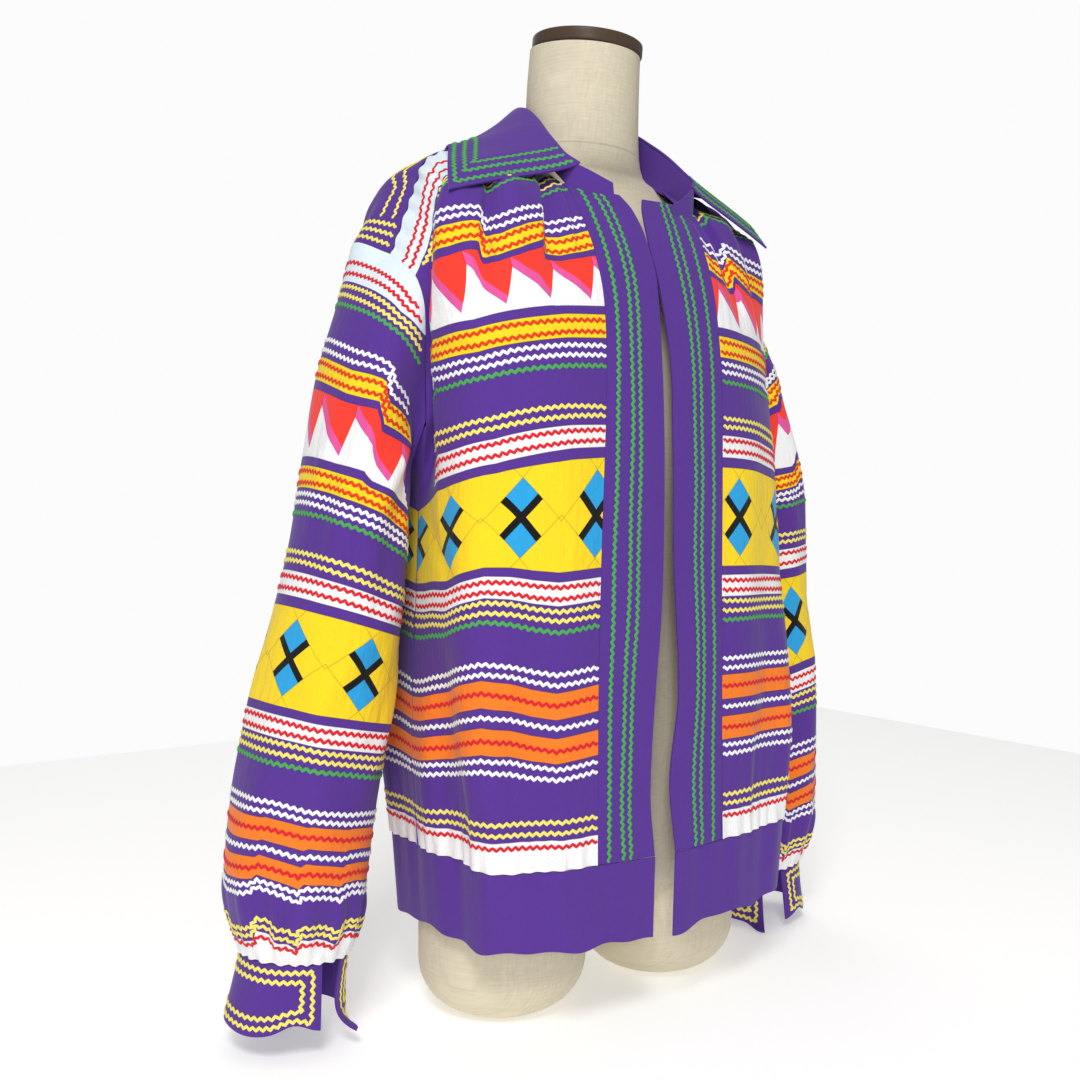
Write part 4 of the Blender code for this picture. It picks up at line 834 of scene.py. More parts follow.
def back_loft():
    """Loft of the whole back from the wearer's right to the left, its top row along the neckline."""
    heights = [row[0] for row in BACK_SECTIONS] + [PANEL_HEIGHT]
    halves = [half_section((0.0, *row[1:3]), row[3:6], row[6:9], row[9], row[10]) for row in BACK_SECTIONS]
    turn = np.linspace(math.pi / 2, 0.0, NECK_POINTS)[:-1]
    side, back = np.array(NECK_SIDE), np.array(NECK_BACK)
    neck = side + (back - side) * np.stack([1 - np.cos(turn), np.sin(turn), np.sin(turn)], 1)
    halves.append(np.concatenate((neck, front_half(FRONT_SECTIONS[-1], 1))))
    whole = [np.concatenate(((half * (-1.0, 1.0, 1.0))[::-1], half[1:])) for half in halves]
    for section, height in zip(whole, heights):
        section[:, 0] += sway(height)
    return Loft(heights, whole, -1.0)


def both_sides(folds):
    """Fold table of a half panel laid out on a whole one, mirrored about its middle."""
    return tuple((0.5 + side * low / 2, 0.5 + side * high / 2, *rest)
                 for side in (1, -1) for low, high, *rest in folds)


def armhole(side):
    """The sleeve's top edge: down the front from the shoulder, across the gusset, up the back."""
    front = np.array([row[8:11] for row in FRONT_SECTIONS if row[0] >= GUSSET_TOP][::-1])
    back = np.array([row[6:9] for row in BACK_SECTIONS if row[0] >= GUSSET_TOP] + [tuple(front[0])])
    low, high = (resample(smooth_line(line), np.linspace(0.0, 1.0, ARMHOLE_POINTS)) for line in (front, back))
    middle = low[-1] + (high[0] - low[-1]) * np.linspace(0.0, 1.0, GUSSET_POINTS)[:, None]
    points = np.concatenate((low[:-1], middle[:-1], high))
    points[:, 0] += ARMHOLE_STEP
    return points * (side, 1.0, 1.0)


def sleeve_ring(row, side, drop_part):
    """One closed ring of a sleeve, from its outer side round the front and the body side."""
    _, x, y, z, rise, fall, drop, drop_power, half_out, half_fore, square, closer, lower = row
    if side > 0:
        x, z = x - closer, z - lower
    turn = np.linspace(0.0, 2 * math.pi, RING_POINTS)
    out, fore = np.cos(turn), np.sin(turn)
    power = np.where(out < 0, square, 1.0)
    inner = drop_part * drop * ((1 - out) / 2) ** drop_power
    return np.stack([side * (x + half_out * out), y - half_fore * np.sign(fore) * np.abs(fore) ** power,
                     z + rise * out - fall * fore - inner], 1)


def sleeve_loft(side, drop=1.0):
    """Loft of a sleeve, share 0 on its outer side, 0.25 in front, 0.5 beside the body."""
    rows = SLEEVE_RINGS[::-1]
    spans = ((0.0, GUSSET_FRONT_SHARE, ARMHOLE_POINTS),
             (GUSSET_FRONT_SHARE, GUSSET_BACK_SHARE, GUSSET_POINTS),
             (GUSSET_BACK_SHARE, 1.0, ARMHOLE_POINTS))
    shares = np.concatenate([np.linspace(*span)[:-1] for span in spans] + [[1.0]])
    edge = armhole(side)
    top = np.stack([np.interp(np.linspace(0.0, 1.0, LOFT_COLUMNS), shares, edge[:, k]) for k in range(3)], 1)
    heights = [row[0] for row in rows] + [PANEL_HEIGHT]
    return Loft(heights, [sleeve_ring(row, side, drop) for row in rows], side, top)


def sleeve_top(share):
    """Cloth height of the sleeve's top edge: full, with a notch for the gusset."""
    half = (GUSSET_BACK_SHARE - GUSSET_FRONT_SHARE) / 2
    return PANEL_HEIGHT - (PANEL_HEIGHT - SLEEVE_NOTCH) * np.clip(1 - np.abs(share - 0.5) / half, 0.0, 1.0)


def relief(table, height, share, width, around=False, fade=FOLD_FADE):
    """Sum of creases: a bell across each, leaning by its slant, faded by a sine along it."""
    total = np.zeros(np.broadcast(height, share).shape)
    for share_low, share_high, height_low, height_high, depth, half_width, slant in table:
        run = np.clip((height - height_low) / (height_high - height_low), 0.0, 1.0)
        off = share - (share_low + (share_high - share_low) * run)
        if around:
            off = (off + 0.5) % 1.0 - 0.5
        place_across = off * width / half_width
        total -= depth * bell(place_across) * (1 + slant * place_across) * np.sin(math.pi * run) ** fade
    return total


def creased(loft, height, share, table, around=False, extra=0.0, lean=0.0):
    """A loft's surface moved along its normal by creases and more, and read `lean` of a share back."""
    push = relief(table, height, share, loft.width(height), around) + extra
    return loft.at(height, share - lean) + loft.normal(height, share) * push[..., None]


def gathers(settings, distance, along):
    """Small waves along a seam: a cosine of uneven spacing that dies away from the seam."""
    spacing, reach, depth, seed = settings
    draw = np.random.default_rng(seed)
    wander = sum(draw.uniform(*GATHER_WANDER) * np.sin(along / (spacing * scale) + draw.uniform(0.0, TURN))
                 for scale in GATHER_SCALES)
    fade = np.exp(-np.clip(distance, 0.0, None) / reach)
    return depth * fade * np.cos(2 * math.pi * along / spacing + 2 * wander)


def lowered(shifts, height, share):
    """How much lower the strips show where pleats take up slack.

    Each shift is a table by share, how much of it counts by height, and the lean of the shares:
    the height where there is none and its rate.
    """
    total = 0.0
    for slack, part, (level, rate) in shifts:
        counts = read(part, height)
        total = total + read(slack, np.clip(share + (height - level) * rate * counts, 0.0, 1.0)) * counts
    return total


def coons(bottom, top, left, right, shares):
    """Patch between four edges that meet at their corners."""
    across, up = shares[None, :, None], shares[:, None, None]
    low, high = resample(bottom, shares)[None], resample(top, shares)[None]
    first, last = resample(left, shares)[:, None], resample(right, shares)[:, None]
    corners = ((1 - up) * ((1 - across) * bottom[0] + across * bottom[-1])
               + up * ((1 - across) * top[0] + across * top[-1]))
    return (1 - up) * low + up * high + (1 - across) * first + across * last - corners


def gusset_edges(side):
    """The four seams of a gusset, from the side seam's top and from the sleeve's notch."""
    heights = np.linspace(SIDE_SEAM_TOP, GUSSET_TOP, GUSSET_EDGE_POINTS)
    front = front_loft(side).at(heights, 1.0)
    back = back_loft().at(heights, 1.0 if side > 0 else 0.0)
    shares = (np.linspace(0.5, end, GUSSET_EDGE_POINTS) for end in (GUSSET_FRONT_SHARE, GUSSET_BACK_SHARE))
    return front, back, *(sleeve_loft(side).at(sleeve_top(share), share) for share in shares)


def placket_surface(side, height, share):
    """Front band: straight from the panel's seam to the free edge, with a soft bow and a lifted seam."""
    seam = creased(front_loft(side), height, np.zeros_like(height), FRONT_FOLDS + FRONT_CREASES)
    table = np.array(EDGE_SECTIONS)
    edge = table[:, (1 if side < 0 else 2, 3, 4)]
    edge[:, 0] += sway(table[:, 0])
    free = smooth(table[:, 0], edge, height)
    bow = PLACKET_BOW * np.sin(math.pi * share)
    bow = bow + PLACKET_WAVE * np.sin(height * PLACKET_WAVE_RATE + side) * share
    return seam + (free - seam) * share[..., None] - bow[..., None] * (0.0, 1.0, 0.0)


def waist_row():
    """The body's lower row from the right front edge round the back to the left one."""
    share = np.linspace(0.0, 1.0, WAIST_POINTS)
    right, left = (creased(front_loft(side), np.zeros(WAIST_POINTS), share, FRONT_FOLDS) for side in (-1, 1))
    around = np.linspace(0.0, 1.0, 2 * WAIST_POINTS)
    back = creased(back_loft(), np.zeros(2 * WAIST_POINTS), around, both_sides(BACK_FOLDS))
    first = placket_surface(-1, np.zeros(WAIST_END_POINTS), np.linspace(1.0, 0.0, WAIST_END_POINTS))
    last = placket_surface(1, np.zeros(WAIST_END_POINTS), np.linspace(0.0, 1.0, WAIST_END_POINTS))
    row = np.concatenate((first[:-1], right[:-1], back, left[::-1][1:], last[1:]))
    middle = (row + np.roll(row, 1, 0) + np.roll(row, -1, 0)) / 3
    row[1:-1] = middle[1:-1]
    return row


def waistband_grid(down, across):
    """Surface of the waistband: its top follows the gathers, its hem is smoother and tucked in."""
    row = resample(waist_row(), across)
    shape = row.copy()
    for _ in range(WAISTBAND_SMOOTHING):
        shape[1:-1] = (shape[:-2] + 2 * shape[1:-1] + shape[2:]) / 4
    hem = shape * (WAISTBAND_TUCK, WAISTBAND_TUCK, 1.0)
    ends = bell(across / WAISTBAND_END) + bell((across - 1.0) / WAISTBAND_END)
    hem[:, 2] -= WAISTBAND_HEIGHT + WAISTBAND_DIP * ends
    down = down[:, None, None]
    return (row - UP * SEAM_GAP) * (1 - down) + hem * down


def cuff_grid(side, down, across):
    """Surface of a cuff from the sleeve seam down, across from one side of its slit to the other."""
    share = (CUFF_UNDERLAP_SHARE + (1 + CUFF_OVERLAP_SHARE - CUFF_UNDERLAP_SHARE) * across) % 1.0
    top = creased(sleeve_loft(side), np.zeros_like(share), share, SLEEVE_FOLDS, around=True)
    last = SLEEVE_RINGS[-1]
    centre = (side * (last[1] - (last[11] if side > 0 else 0.0)), last[2], 0.0)
    outward = unit((top - centre) * LEVEL)
    flare = CUFF_FLARE + CUFF_WAVE * np.sin(2 * math.pi * (2 * across + CUFF_WAVE_START))
    flare = flare + CUFF_CURL * bell(across / CUFF_OPEN_REACH)
    bottom = top + outward * flare[:, None] + np.array(CUFF_SHIFT) * (side, 1.0, 1.0)
    middle = top[:, 2].mean()
    bottom[:, 2] = middle - CUFF_HEIGHT + (top[:, 2] - middle) * CUFF_SLOPE
    down = down[:, None, None]
    return (top - outward * CUFF_INSET - UP * CUFF_SEAM_GAP) * (1 - down) + bottom * down


def collar_rows(across, with_tab=False):
    """Stations from the right front end round the back to the left one; the neckband has a tab."""
    table = np.array(([NECKBAND_TAB] if with_tab else []) + list(COLLAR_STATIONS))
    stations = lengths(table[:, 0:3])
    at = np.linspace(0.0, stations[-1], NECK_POINTS)
    half = smooth(stations, table, at)
    flipped = half * (-1, 1, 1, 1, 1, -1, 1, 1)
    half[:, 5] *= LEFT_COLLAR_CLOSER
    if with_tab:
        half[:, 3] *= np.interp(at, (0.0, LEFT_TAB_REACH), (LEFT_TAB_LOW, 1.0))
    return resample(np.concatenate((flipped, half[::-1][1:])), across)


def stand_top(rows):
    """Upper edge of the neckband, leaning to the neck."""
    return rows[:, 0:3] - unit(rows[:, 0:3] * LEVEL) * rows[:, 4:5] + UP * rows[:, 3:4]


def neckband_grid(up, across):
    """Surface of the neckband, its ends tucked in behind the front bands."""
    rows = collar_rows(across, with_tab=True)
    base = rows[:, 0:3] + UP * NECKBAND_CLEAR
    for end, (drop, inward, reach) in enumerate(NECKBAND_TUCK):
        near = bell((across - end) / reach)
        base[:, 2] -= drop * near
        base[:, 0] -= np.sign(base[:, 0]) * inward * near
    up = up[:, None, None]
    return base * (1 - up) + stand_top(rows) * up


def collar_grid(down, across):
    """Surface of the collar's fall: it rolls over the neckband's top and sags to its edge.

    Each column is a cubic through two guiding points. Towards the front ends the roll dies away.
    """
    rows = collar_rows(across)
    fold, edge = stand_top(rows) + UP * COLLAR_LIFT, rows[:, 5:8]
    spread = edge - fold
    end = bell(np.minimum(across, 1 - across) / COLLAR_END_REACH)[:, None]
    first_rise = COLLAR_ROLL * (1 - end) + COLLAR_END_FIRST * end
    second_rise = spread[:, 2:3] * COLLAR_MIDDLE + COLLAR_END_SECOND * end
    first = fold + spread * LEVEL * COLLAR_ROLL_REACH + UP * first_rise
    second = fold + spread * LEVEL * COLLAR_MIDWAY + UP * second_rise
    t = np.linspace(0.0, 1.0, COLLAR_CURVE_POINTS)[:, None, None]
    points = ((1 - t) ** 3 * fold + 3 * (1 - t) ** 2 * t * first
              + 3 * (1 - t) * t ** 2 * second + t ** 3 * edge)
    return np.stack([resample(points[:, k], down) for k in range(len(across))], 1)


class Sheet:
    """A grid of cloth points with its normals, read between its corners by shares."""

    def __init__(self, points, closed=False, flip=False):
        self.points = points + STAND_SHIFT
        self.closed = closed
        self.flip = flip
        across = np.gradient(self.points, axis=1)
        if closed:
            across = np.roll(self.points, -1, axis=1) - np.roll(self.points, 1, axis=1)
        self.normals = unit(np.cross(across, np.gradient(self.points, axis=0))) * (-1.0 if flip else 1.0)

    def at(self, across, up):
        """Point and normal at shares across and up, blended between the four nearest corners."""
        rows, columns = self.points.shape[:2]
        last = columns if self.closed else columns - 1
        place = (across % 1.0 if self.closed else np.clip(across, 0.0, 1.0)) * last
        left = np.minimum(place.astype(int), last - 1)
        right = (left + 1) % columns
        part = (place - left)[..., None]
        level = np.clip(up, 0.0, 1.0) * (rows - 1)
        low = np.minimum(level.astype(int), rows - 2)
        rise = (level - low)[..., None]
        point, normal = ((table[low, left] * (1 - part) + table[low, right] * part) * (1 - rise)
                         + (table[low + 1, left] * (1 - part) + table[low + 1, right] * part) * rise
                         for table in (self.points, self.normals))
        return point, unit(normal)


def make_mesh(name, points, quads, uv=None, slots=None):
    """Mesh from whole arrays: corners, quads, a UV pair for each corner of each quad, and slots."""
    mesh = bpy.data.meshes.new(name)
    mesh.vertices.add(len(points))
    mesh.vertices.foreach_set("co", np.ascontiguousarray(points, dtype=np.float32).ravel())
    mesh.loops.add(quads.size)
    mesh.loops.foreach_set("vertex_index", np.ascontiguousarray(quads, dtype=np.int32).ravel())
    mesh.polygons.add(len(quads))
    mesh.polygons.foreach_set("loop_start", np.arange(0, quads.size, 4, dtype=np.int32))
    if slots is not None:
        mesh.polygons.foreach_set("material_index", np.ascontiguousarray(slots, dtype=np.int32))
    if uv is not None:
        layer = mesh.uv_layers.new(name="cloth")
        layer.uv.foreach_set("vector", np.ascontiguousarray(uv, dtype=np.float32).ravel())
    mesh.update(calc_edges=True)
    mesh.validate()
    mesh.shade_smooth()
    mesh.set_sharp_from_angle(angle=CLOTH_SHARP)
    return mesh


def grid_quads(rows, columns, closed):
    """Corner numbers of the quads of a grid, and the row and column of each corner."""
    across = np.arange(columns if closed else columns - 1)
    row, number = np.meshgrid(np.arange(rows - 1), across, indexing="ij")
    corner_rows = np.stack([row, row, row + 1, row + 1], -1).reshape(-1, 4)
    corner_columns = np.stack([number, number + 1, number + 1, number], -1).reshape(-1, 4)
    return corner_rows * columns + corner_columns % columns, corner_rows, corner_columns


def shell(name, sheet, across, height, wall, plain_and_shade_part=None):
    """Closed cloth wall: the sheet outside, a copy set in along the normals, and rims between.

    `across` and `height` are the cloth coordinates of the corners, one column more on a tube.
    Quads wholly in the plain part and the seam edges of a pieced panel show plain purple; in the plain part
    it is partly the underarm's purple and partly painted shade.
    """
    rows, columns = sheet.points.shape[:2]
    count = rows * columns
    quads, corner_rows, corner_columns = grid_quads(rows, columns, sheet.closed)
    uv = np.stack([across[corner_rows, corner_columns], height[corner_rows, corner_columns]], -1)
    # Plain purple quads: partly the underarm's purple, partly painted shade beside the armholes.
    if plain_and_shade_part is not None:
        whole = plain_and_shade_part[corner_rows, corner_columns].all(axis=1)
        uv[whole, :, 1] = UNDERARM_LEVEL + UNDERARM_RUN * (uv[whole, :, 1] - uv[whole, :, 1].mean())
    parts = [(quads, uv, False), (quads + count, uv, True)]
    index = np.arange(count).reshape(rows, columns)
    turns = columns if sheet.closed else columns - 1
    edges = [(np.s_[0], turns, False), (np.s_[-1], turns, True)]
    if not sheet.closed:
        edges += [(np.s_[:, 0], rows - 1, True), (np.s_[:, -1], rows - 1, False)]
    for edge, steps, turned in edges:
        line, here = index[edge], np.arange(steps)
        after = (here + 1) % len(line)
        rim = np.stack([line[here], line[here] + count, line[after] + count, line[after]], -1)
        cloth = np.stack([across[edge], height[edge]], -1)
        first, second = cloth[here], cloth[np.minimum(here + 1, len(cloth) - 1)]
        rim_uv = np.stack([first, first, second, second], 1)
        if plain_and_shade_part is not None:
            rim_uv[..., 1] = UNDERARM_LEVEL
        parts.append((rim, rim_uv, turned))
    turned_over = (0, 3, 2, 1)
    order = [turned_over if turned != sheet.flip else slice(None) for _, _, turned in parts]
    inner = sheet.points - sheet.normals * wall
    return make_mesh(name, np.concatenate((sheet.points, inner)).reshape(-1, 3),
                     np.concatenate([part[0][:, way] for part, way in zip(parts, order)]),
                     np.concatenate([part[1][:, way] for part, way in zip(parts, order)]))


def add_object(name, data):
    """A new object in the scene."""
    item = bpy.data.objects.new(name, data)
    bpy.context.scene.collection.objects.link(item)
    return item


def place(name, mesh, materials, slot, replaces=None):
    """An object at the origin with its materials, riding on the one body."""
    for material in materials:
        mesh.materials.append(material)
    item = add_object(name, mesh)
    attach(item, BODY)
    if replaces:
        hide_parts(replaces)
    return item


def paint(name):
    """A colour of the settings, with full cover."""
    return (*getattr(bpy.context.scene.jacket_colours, name), 1.0)


class Value:
    """A value in a node tree. Arithmetic on it places Math nodes, and a comparison gives one or zero."""

    def __init__(self, socket):
        self.socket = socket
        self.tree = socket.id_data

    def maths(self, operation, *others):
        """What one Math node makes of this value and the others."""
        node = new_node(self.tree, "ShaderNodeMath", operation=operation)
        for socket, value in zip(node.inputs, (self, *others)):
            feed(socket, value)
        return Value(node.outputs[0])

    def __add__(self, other):
        return self.maths("ADD", other)

    def __sub__(self, other):
        return self.maths("SUBTRACT", other)

    def __mul__(self, other):
        return self.maths("MULTIPLY", other)

    def __truediv__(self, other):
        return self.maths("DIVIDE", other)

    def __abs__(self):
        return self.maths("ABSOLUTE")

    def __lt__(self, other):
        return self.maths("LESS_THAN", other)

    def __gt__(self, other):
        return self.maths("GREATER_THAN", other)

    def larger(self, other):
        """The larger of the two."""
        return self.maths("MAXIMUM", other)

    def scaled(self, factor, offset):
        """The value times a factor, plus an offset."""
        return self.maths("MULTIPLY_ADD", factor, offset)

    def near(self, other, reach):
        """One where the two differ by less than the reach."""
        return self.maths("COMPARE", other, reach)

    def between(self, low, high):
        """One where the value lies between low and high."""
        return (self > low) * (self < high)


def new_node(tree, kind, **settings):
    """A node of the tree with its settings."""
    node = tree.nodes.new(kind)
    for key, value in settings.items():
        setattr(node, key, value)
    return node


def feed(socket, value):
    """Joins a value to a socket, or sets the socket to a plain number or colour."""
    if isinstance(value, Value):
        value.tree.links.new(value.socket, socket)
    else:
        socket.default_value = value


def mix(factor, first, second, kind="MIX"):
    """Two colours blended by a factor."""
    tree = next(value.tree for value in (factor, first, second) if isinstance(value, Value))
    node = new_node(tree, "ShaderNodeMix", data_type="RGBA", blend_type=kind)
    for number, value in ((0, factor), (6, first), (7, second)):
        feed(node.inputs[number], value)
    return Value(node.outputs[2])


def parts(vector):
    """The x, y and z of a vector."""
    node = new_node(vector.tree, "ShaderNodeSeparateXYZ")
    feed(node.inputs[0], vector)
    return [Value(socket) for socket in node.outputs]


def stretched(x, y, x_scale, y_scale):
    """Vector of two coordinates, each to its own scale."""
    node = new_node(x.tree, "ShaderNodeCombineXYZ")
    feed(node.inputs[0], x * x_scale)
    feed(node.inputs[1], y * y_scale)
    return Value(node.outputs[0])


def noise(vector, scale=1.0, detail=2.0):
    """Soft noise over a vector."""
    node = new_node(vector.tree, "ShaderNodeTexNoise")
    for label, value in (("Vector", vector), ("Scale", scale), ("Detail", detail)):
        feed(node.inputs[label], value)
    return Value(node.outputs["Fac"])


def new_group(name, inputs, outputs):
    """Shader node group with named sockets, each a (name, kind) pair, its values and its outlets."""
    group = bpy.data.node_groups.new(name, "ShaderNodeTree")
    for way, sockets in (("INPUT", inputs), ("OUTPUT", outputs)):
        for label, kind in sockets:
            group.interface.new_socket(label, in_out=way, socket_type="NodeSocket" + kind)
    sockets = new_node(group, "NodeGroupInput").outputs
    given = {label: Value(sockets[label]) for label, kind in inputs}
    return group, given, new_node(group, "NodeGroupOutput").inputs


def grouped(group, given):
    """The outcomes of a node group that is fed with the given values by name."""
    node = new_node(given["Position"].tree, "ShaderNodeGroup", node_tree=group)
    for label, value in given.items():
        feed(node.inputs[label], value)
    return {socket.name: Value(socket) for socket in node.outputs}


def weave_group():
    """Plain weave: uneven threads both ways, mottling, and puckers that run up the cloth."""
    group = bpy.data.node_groups.get("woven cotton")
    if group:
        return group
    group, given, out = new_group("woven cotton", (("Position", "Vector"), ("Puckers", "Float")),
                                  (("Shade", "Float"), ("Height", "Float")))
    x, y, _ = parts(given["Position"])
    threads = (noise(stretched(x, y, *THREAD_SCALES), detail=1.0)
               + noise(stretched(x, y, *THREAD_SCALES[::-1]), detail=1.0))
    mottle = noise(stretched(x, y, *MOTTLE_SCALES))
    feed(out["Shade"], threads.scaled(*THREAD_SHADE) * mottle.scaled(*MOTTLE_SHADE))
    feed(out["Height"], threads * THREAD_RELIEF + noise(stretched(x, y, *PUCKER_SCALES)) * given["Puckers"])
    return group


def strip_group():
    """Colour of the pieced cloth at a place on it.

    Each strip is a pair of heights. In the diamond row, with a and b the distances from
    the crossing in half squares, blue is |a| + ||b| - c| < 1 and the bars are |a - b| < t or
    |a + b| < t within the motif. In the triangle row a long and a steep line through each
    tip part white, pink and coral.
    """
    group = bpy.data.node_groups.get("pieced strips")
    if group:
        return group
    group, given, out = new_group(
        "pieced strips",
        (("Position", "Vector"), *((label, "Float") for label in SHIFT_SOCKETS), ("Shoulder", "Float")),
        (("Color", "Color"), ("Joint", "Float"), ("Puckers", "Float")))
    x, y, _ = parts(given["Position"])
    colour, pieced = paint("purple"), 0.0
    for low, high, strip in STRIPS:
        here = y.between(low, high)
        colour = mix(here, colour, paint(strip))
        pieced = here.larger(pieced)
    colour = mix((y > SHOULDER_FROM) * given["Shoulder"], colour, paint("ice"))

    across = ((x + given["Diamond shift"]) / given["Diamond period"]).maths("FRACT") - 0.5
    across = across * (given["Diamond period"] / DIAMOND_HALF_WIDTH)
    up = (y - DIAMOND_MIDDLE) / DIAMOND_HALF_HEIGHT
    rising, falling = abs(across - up), abs(across + up)
    in_row = y.between(DIAMOND_LOW, DIAMOND_HIGH)
    reach = 2 + DIAMOND_BAR
    blue = (abs(abs(up) - (1 + DIAMOND_BAR)) + abs(across) < 1.0) * in_row
    first, second = (rising < DIAMOND_BAR) * (falling < reach), (falling < DIAMOND_BAR) * (rising < reach)
    colour = mix(blue, colour, paint("blue"))
    colour = mix(first.larger(second) * in_row, colour, paint("black"))
    joint = rising.near(reach, PATCH_SEAM).larger(falling.near(reach, PATCH_SEAM)) * in_row

    across = ((x + given["Triangle shift"]) / given["Triangle period"]).maths("FRACT")
    up = (y - TRIANGLE_LOW) / (TRIANGLE_HIGH - TRIANGLE_LOW)
    in_row = y.between(TRIANGLE_LOW, TRIANGLE_HIGH)
    fall = (TRIANGLE_TIP - TRIANGLE_PEAK) / TRIANGLE_TIP_SHARE
    rise = (TRIANGLE_PEAK - TRIANGLE_TIP) / (1 - TRIANGLE_TIP_SHARE)
    over_long_side = up - across.scaled(fall, TRIANGLE_PEAK)
    right_of = (up - across.scaled(rise, TRIANGLE_PEAK - rise) > 0.0) * in_row
    colour = mix((over_long_side > 0.0) * right_of, colour, paint("pink"))
    colour = mix((over_long_side > TRIANGLE_STRIPE) * right_of, colour, paint("coral"))
    joint = joint.larger(across.near(*PEAK_SEAM) * (up > TRIANGLE_PEAK) * in_row)

    for height in JOINTS:
        joint = joint.larger(y.near(height, JOINT_HALF))
    # The seams are painted darker as well as grooved: painted shade in their grooves.
    feed(out["Color"], mix(1.0, colour, joint.scaled(-JOINT_PAINTED_SHADE, 1.0), "MULTIPLY"))
    feed(out["Joint"], joint)
    feed(out["Puckers"], pieced.scaled(1 - PURPLE_PUCKERS, PURPLE_PUCKERS))
    return group


def principled(name, roughness, sheen=0.0):
    """A material and the inputs of its Principled shader."""
    material = bpy.data.materials.new(name)
    material.use_nodes = True
    inputs = material.node_tree.nodes["Principled BSDF"].inputs
    for label, value in (("Roughness", roughness), ("Specular IOR Level", SPECULAR), ("Sheen Weight", sheen)):
        inputs[label].default_value = value
    return material, inputs


def spot_on_cloth(material):
    """Place on the cloth, in metres."""
    return Value(new_node(material.node_tree, "ShaderNodeUVMap", uv_map="cloth").outputs[0])


def spot_in_space(material):
    """Place in the object's own space."""
    return Value(new_node(material.node_tree, "ShaderNodeTexCoord").outputs["Object"])


def finish_cloth(shader, colour, shade, height=None, distance=0.0):
    """Colour of the shader times a shade, and a small relief of the surface."""
    feed(shader["Base Color"], mix(1.0, colour, shade, "MULTIPLY"))
    if height is not None:
        node = new_node(height.tree, "ShaderNodeBump")
        node.inputs["Distance"].default_value = distance
        feed(node.inputs["Height"], height)
        feed(shader["Normal"], Value(node.outputs[0]))


def pieced_cloth(name):
    """Strip-pieced cotton of one panel."""
    material, shader = principled(name + " pieced cotton", COTTON_ROUGHNESS, COTTON_SHEEN)
    spot = spot_on_cloth(material)
    strips = grouped(strip_group(), {"Position": spot, **dict(zip(SHIFT_SOCKETS, SHIFTS[name])),
                                     "Shoulder": 0.0 if name == "back" else 1.0})
    weave = grouped(weave_group(), {"Position": spot, "Puckers": strips["Puckers"]})
    finish_cloth(shader, strips["Color"], weave["Shade"], weave["Height"] - strips["Joint"], COTTON_RELIEF)
    return material


def purple_cotton():
    """Plain woven cotton of one colour."""
    found = bpy.data.materials.get("purple cotton")
    if found:
        return found
    material, shader = principled("purple cotton", COTTON_ROUGHNESS, COTTON_SHEEN)
    weave = grouped(weave_group(), {"Position": spot_on_cloth(material), "Puckers": PLAIN_PUCKERS})
    finish_cloth(shader, paint("purple"), weave["Shade"], weave["Height"], COTTON_RELIEF)
    return material


def braid_cloth(name):
    """Matt cotton braid."""
    found = bpy.data.materials.get("braid " + name)
    if found:
        return found
    material, shader = principled("braid " + name, BRAID_ROUGHNESS, BRAID_SHEEN)
    finish_cloth(shader, paint(name), noise(spot_in_space(material), BRAID_GRAIN).scaled(*BRAID_SHADE))
    return material


def linen_cloth():
    """Natural linen with slubs, on object coordinates."""
    material, shader = principled("linen cover", COTTON_ROUGHNESS, LINEN_SHEEN)
    x, y, z = parts(spot_in_space(material))
    side = x + y * LINEN_SLANT
    weave = grouped(weave_group(), {"Position": stretched(side, z, LINEN_WEAVE, LINEN_WEAVE),
                                    "Puckers": LINEN_PUCKERS})
    slubs = noise(stretched(side, z, *SLUB_SCALES)) + noise(stretched(side, z, *CROSS_SCALES))
    seam = z.near(FORM_SEAM_HEIGHT, FORM_SEAM_HALF)
    shade = slubs.scaled(*SLUB_SHADE) * weave["Shade"] * seam.scaled(-FORM_SEAM_SHADE, 1.0)
    finish_cloth(shader, paint("linen"), shade, weave["Height"] - seam, LINEN_RELIEF)
    return material


def lay(name, sheet, across, height, wall, material, plain_and_shade_part=None):
    """A piece of cloth laid in the place of the solid of that name."""
    across, height = np.broadcast_arrays(across, height)
    mesh = shell(name + "_cloth", sheet, across, height, wall, plain_and_shade_part)
    return place(name + "_cloth", mesh, [material], name, name)


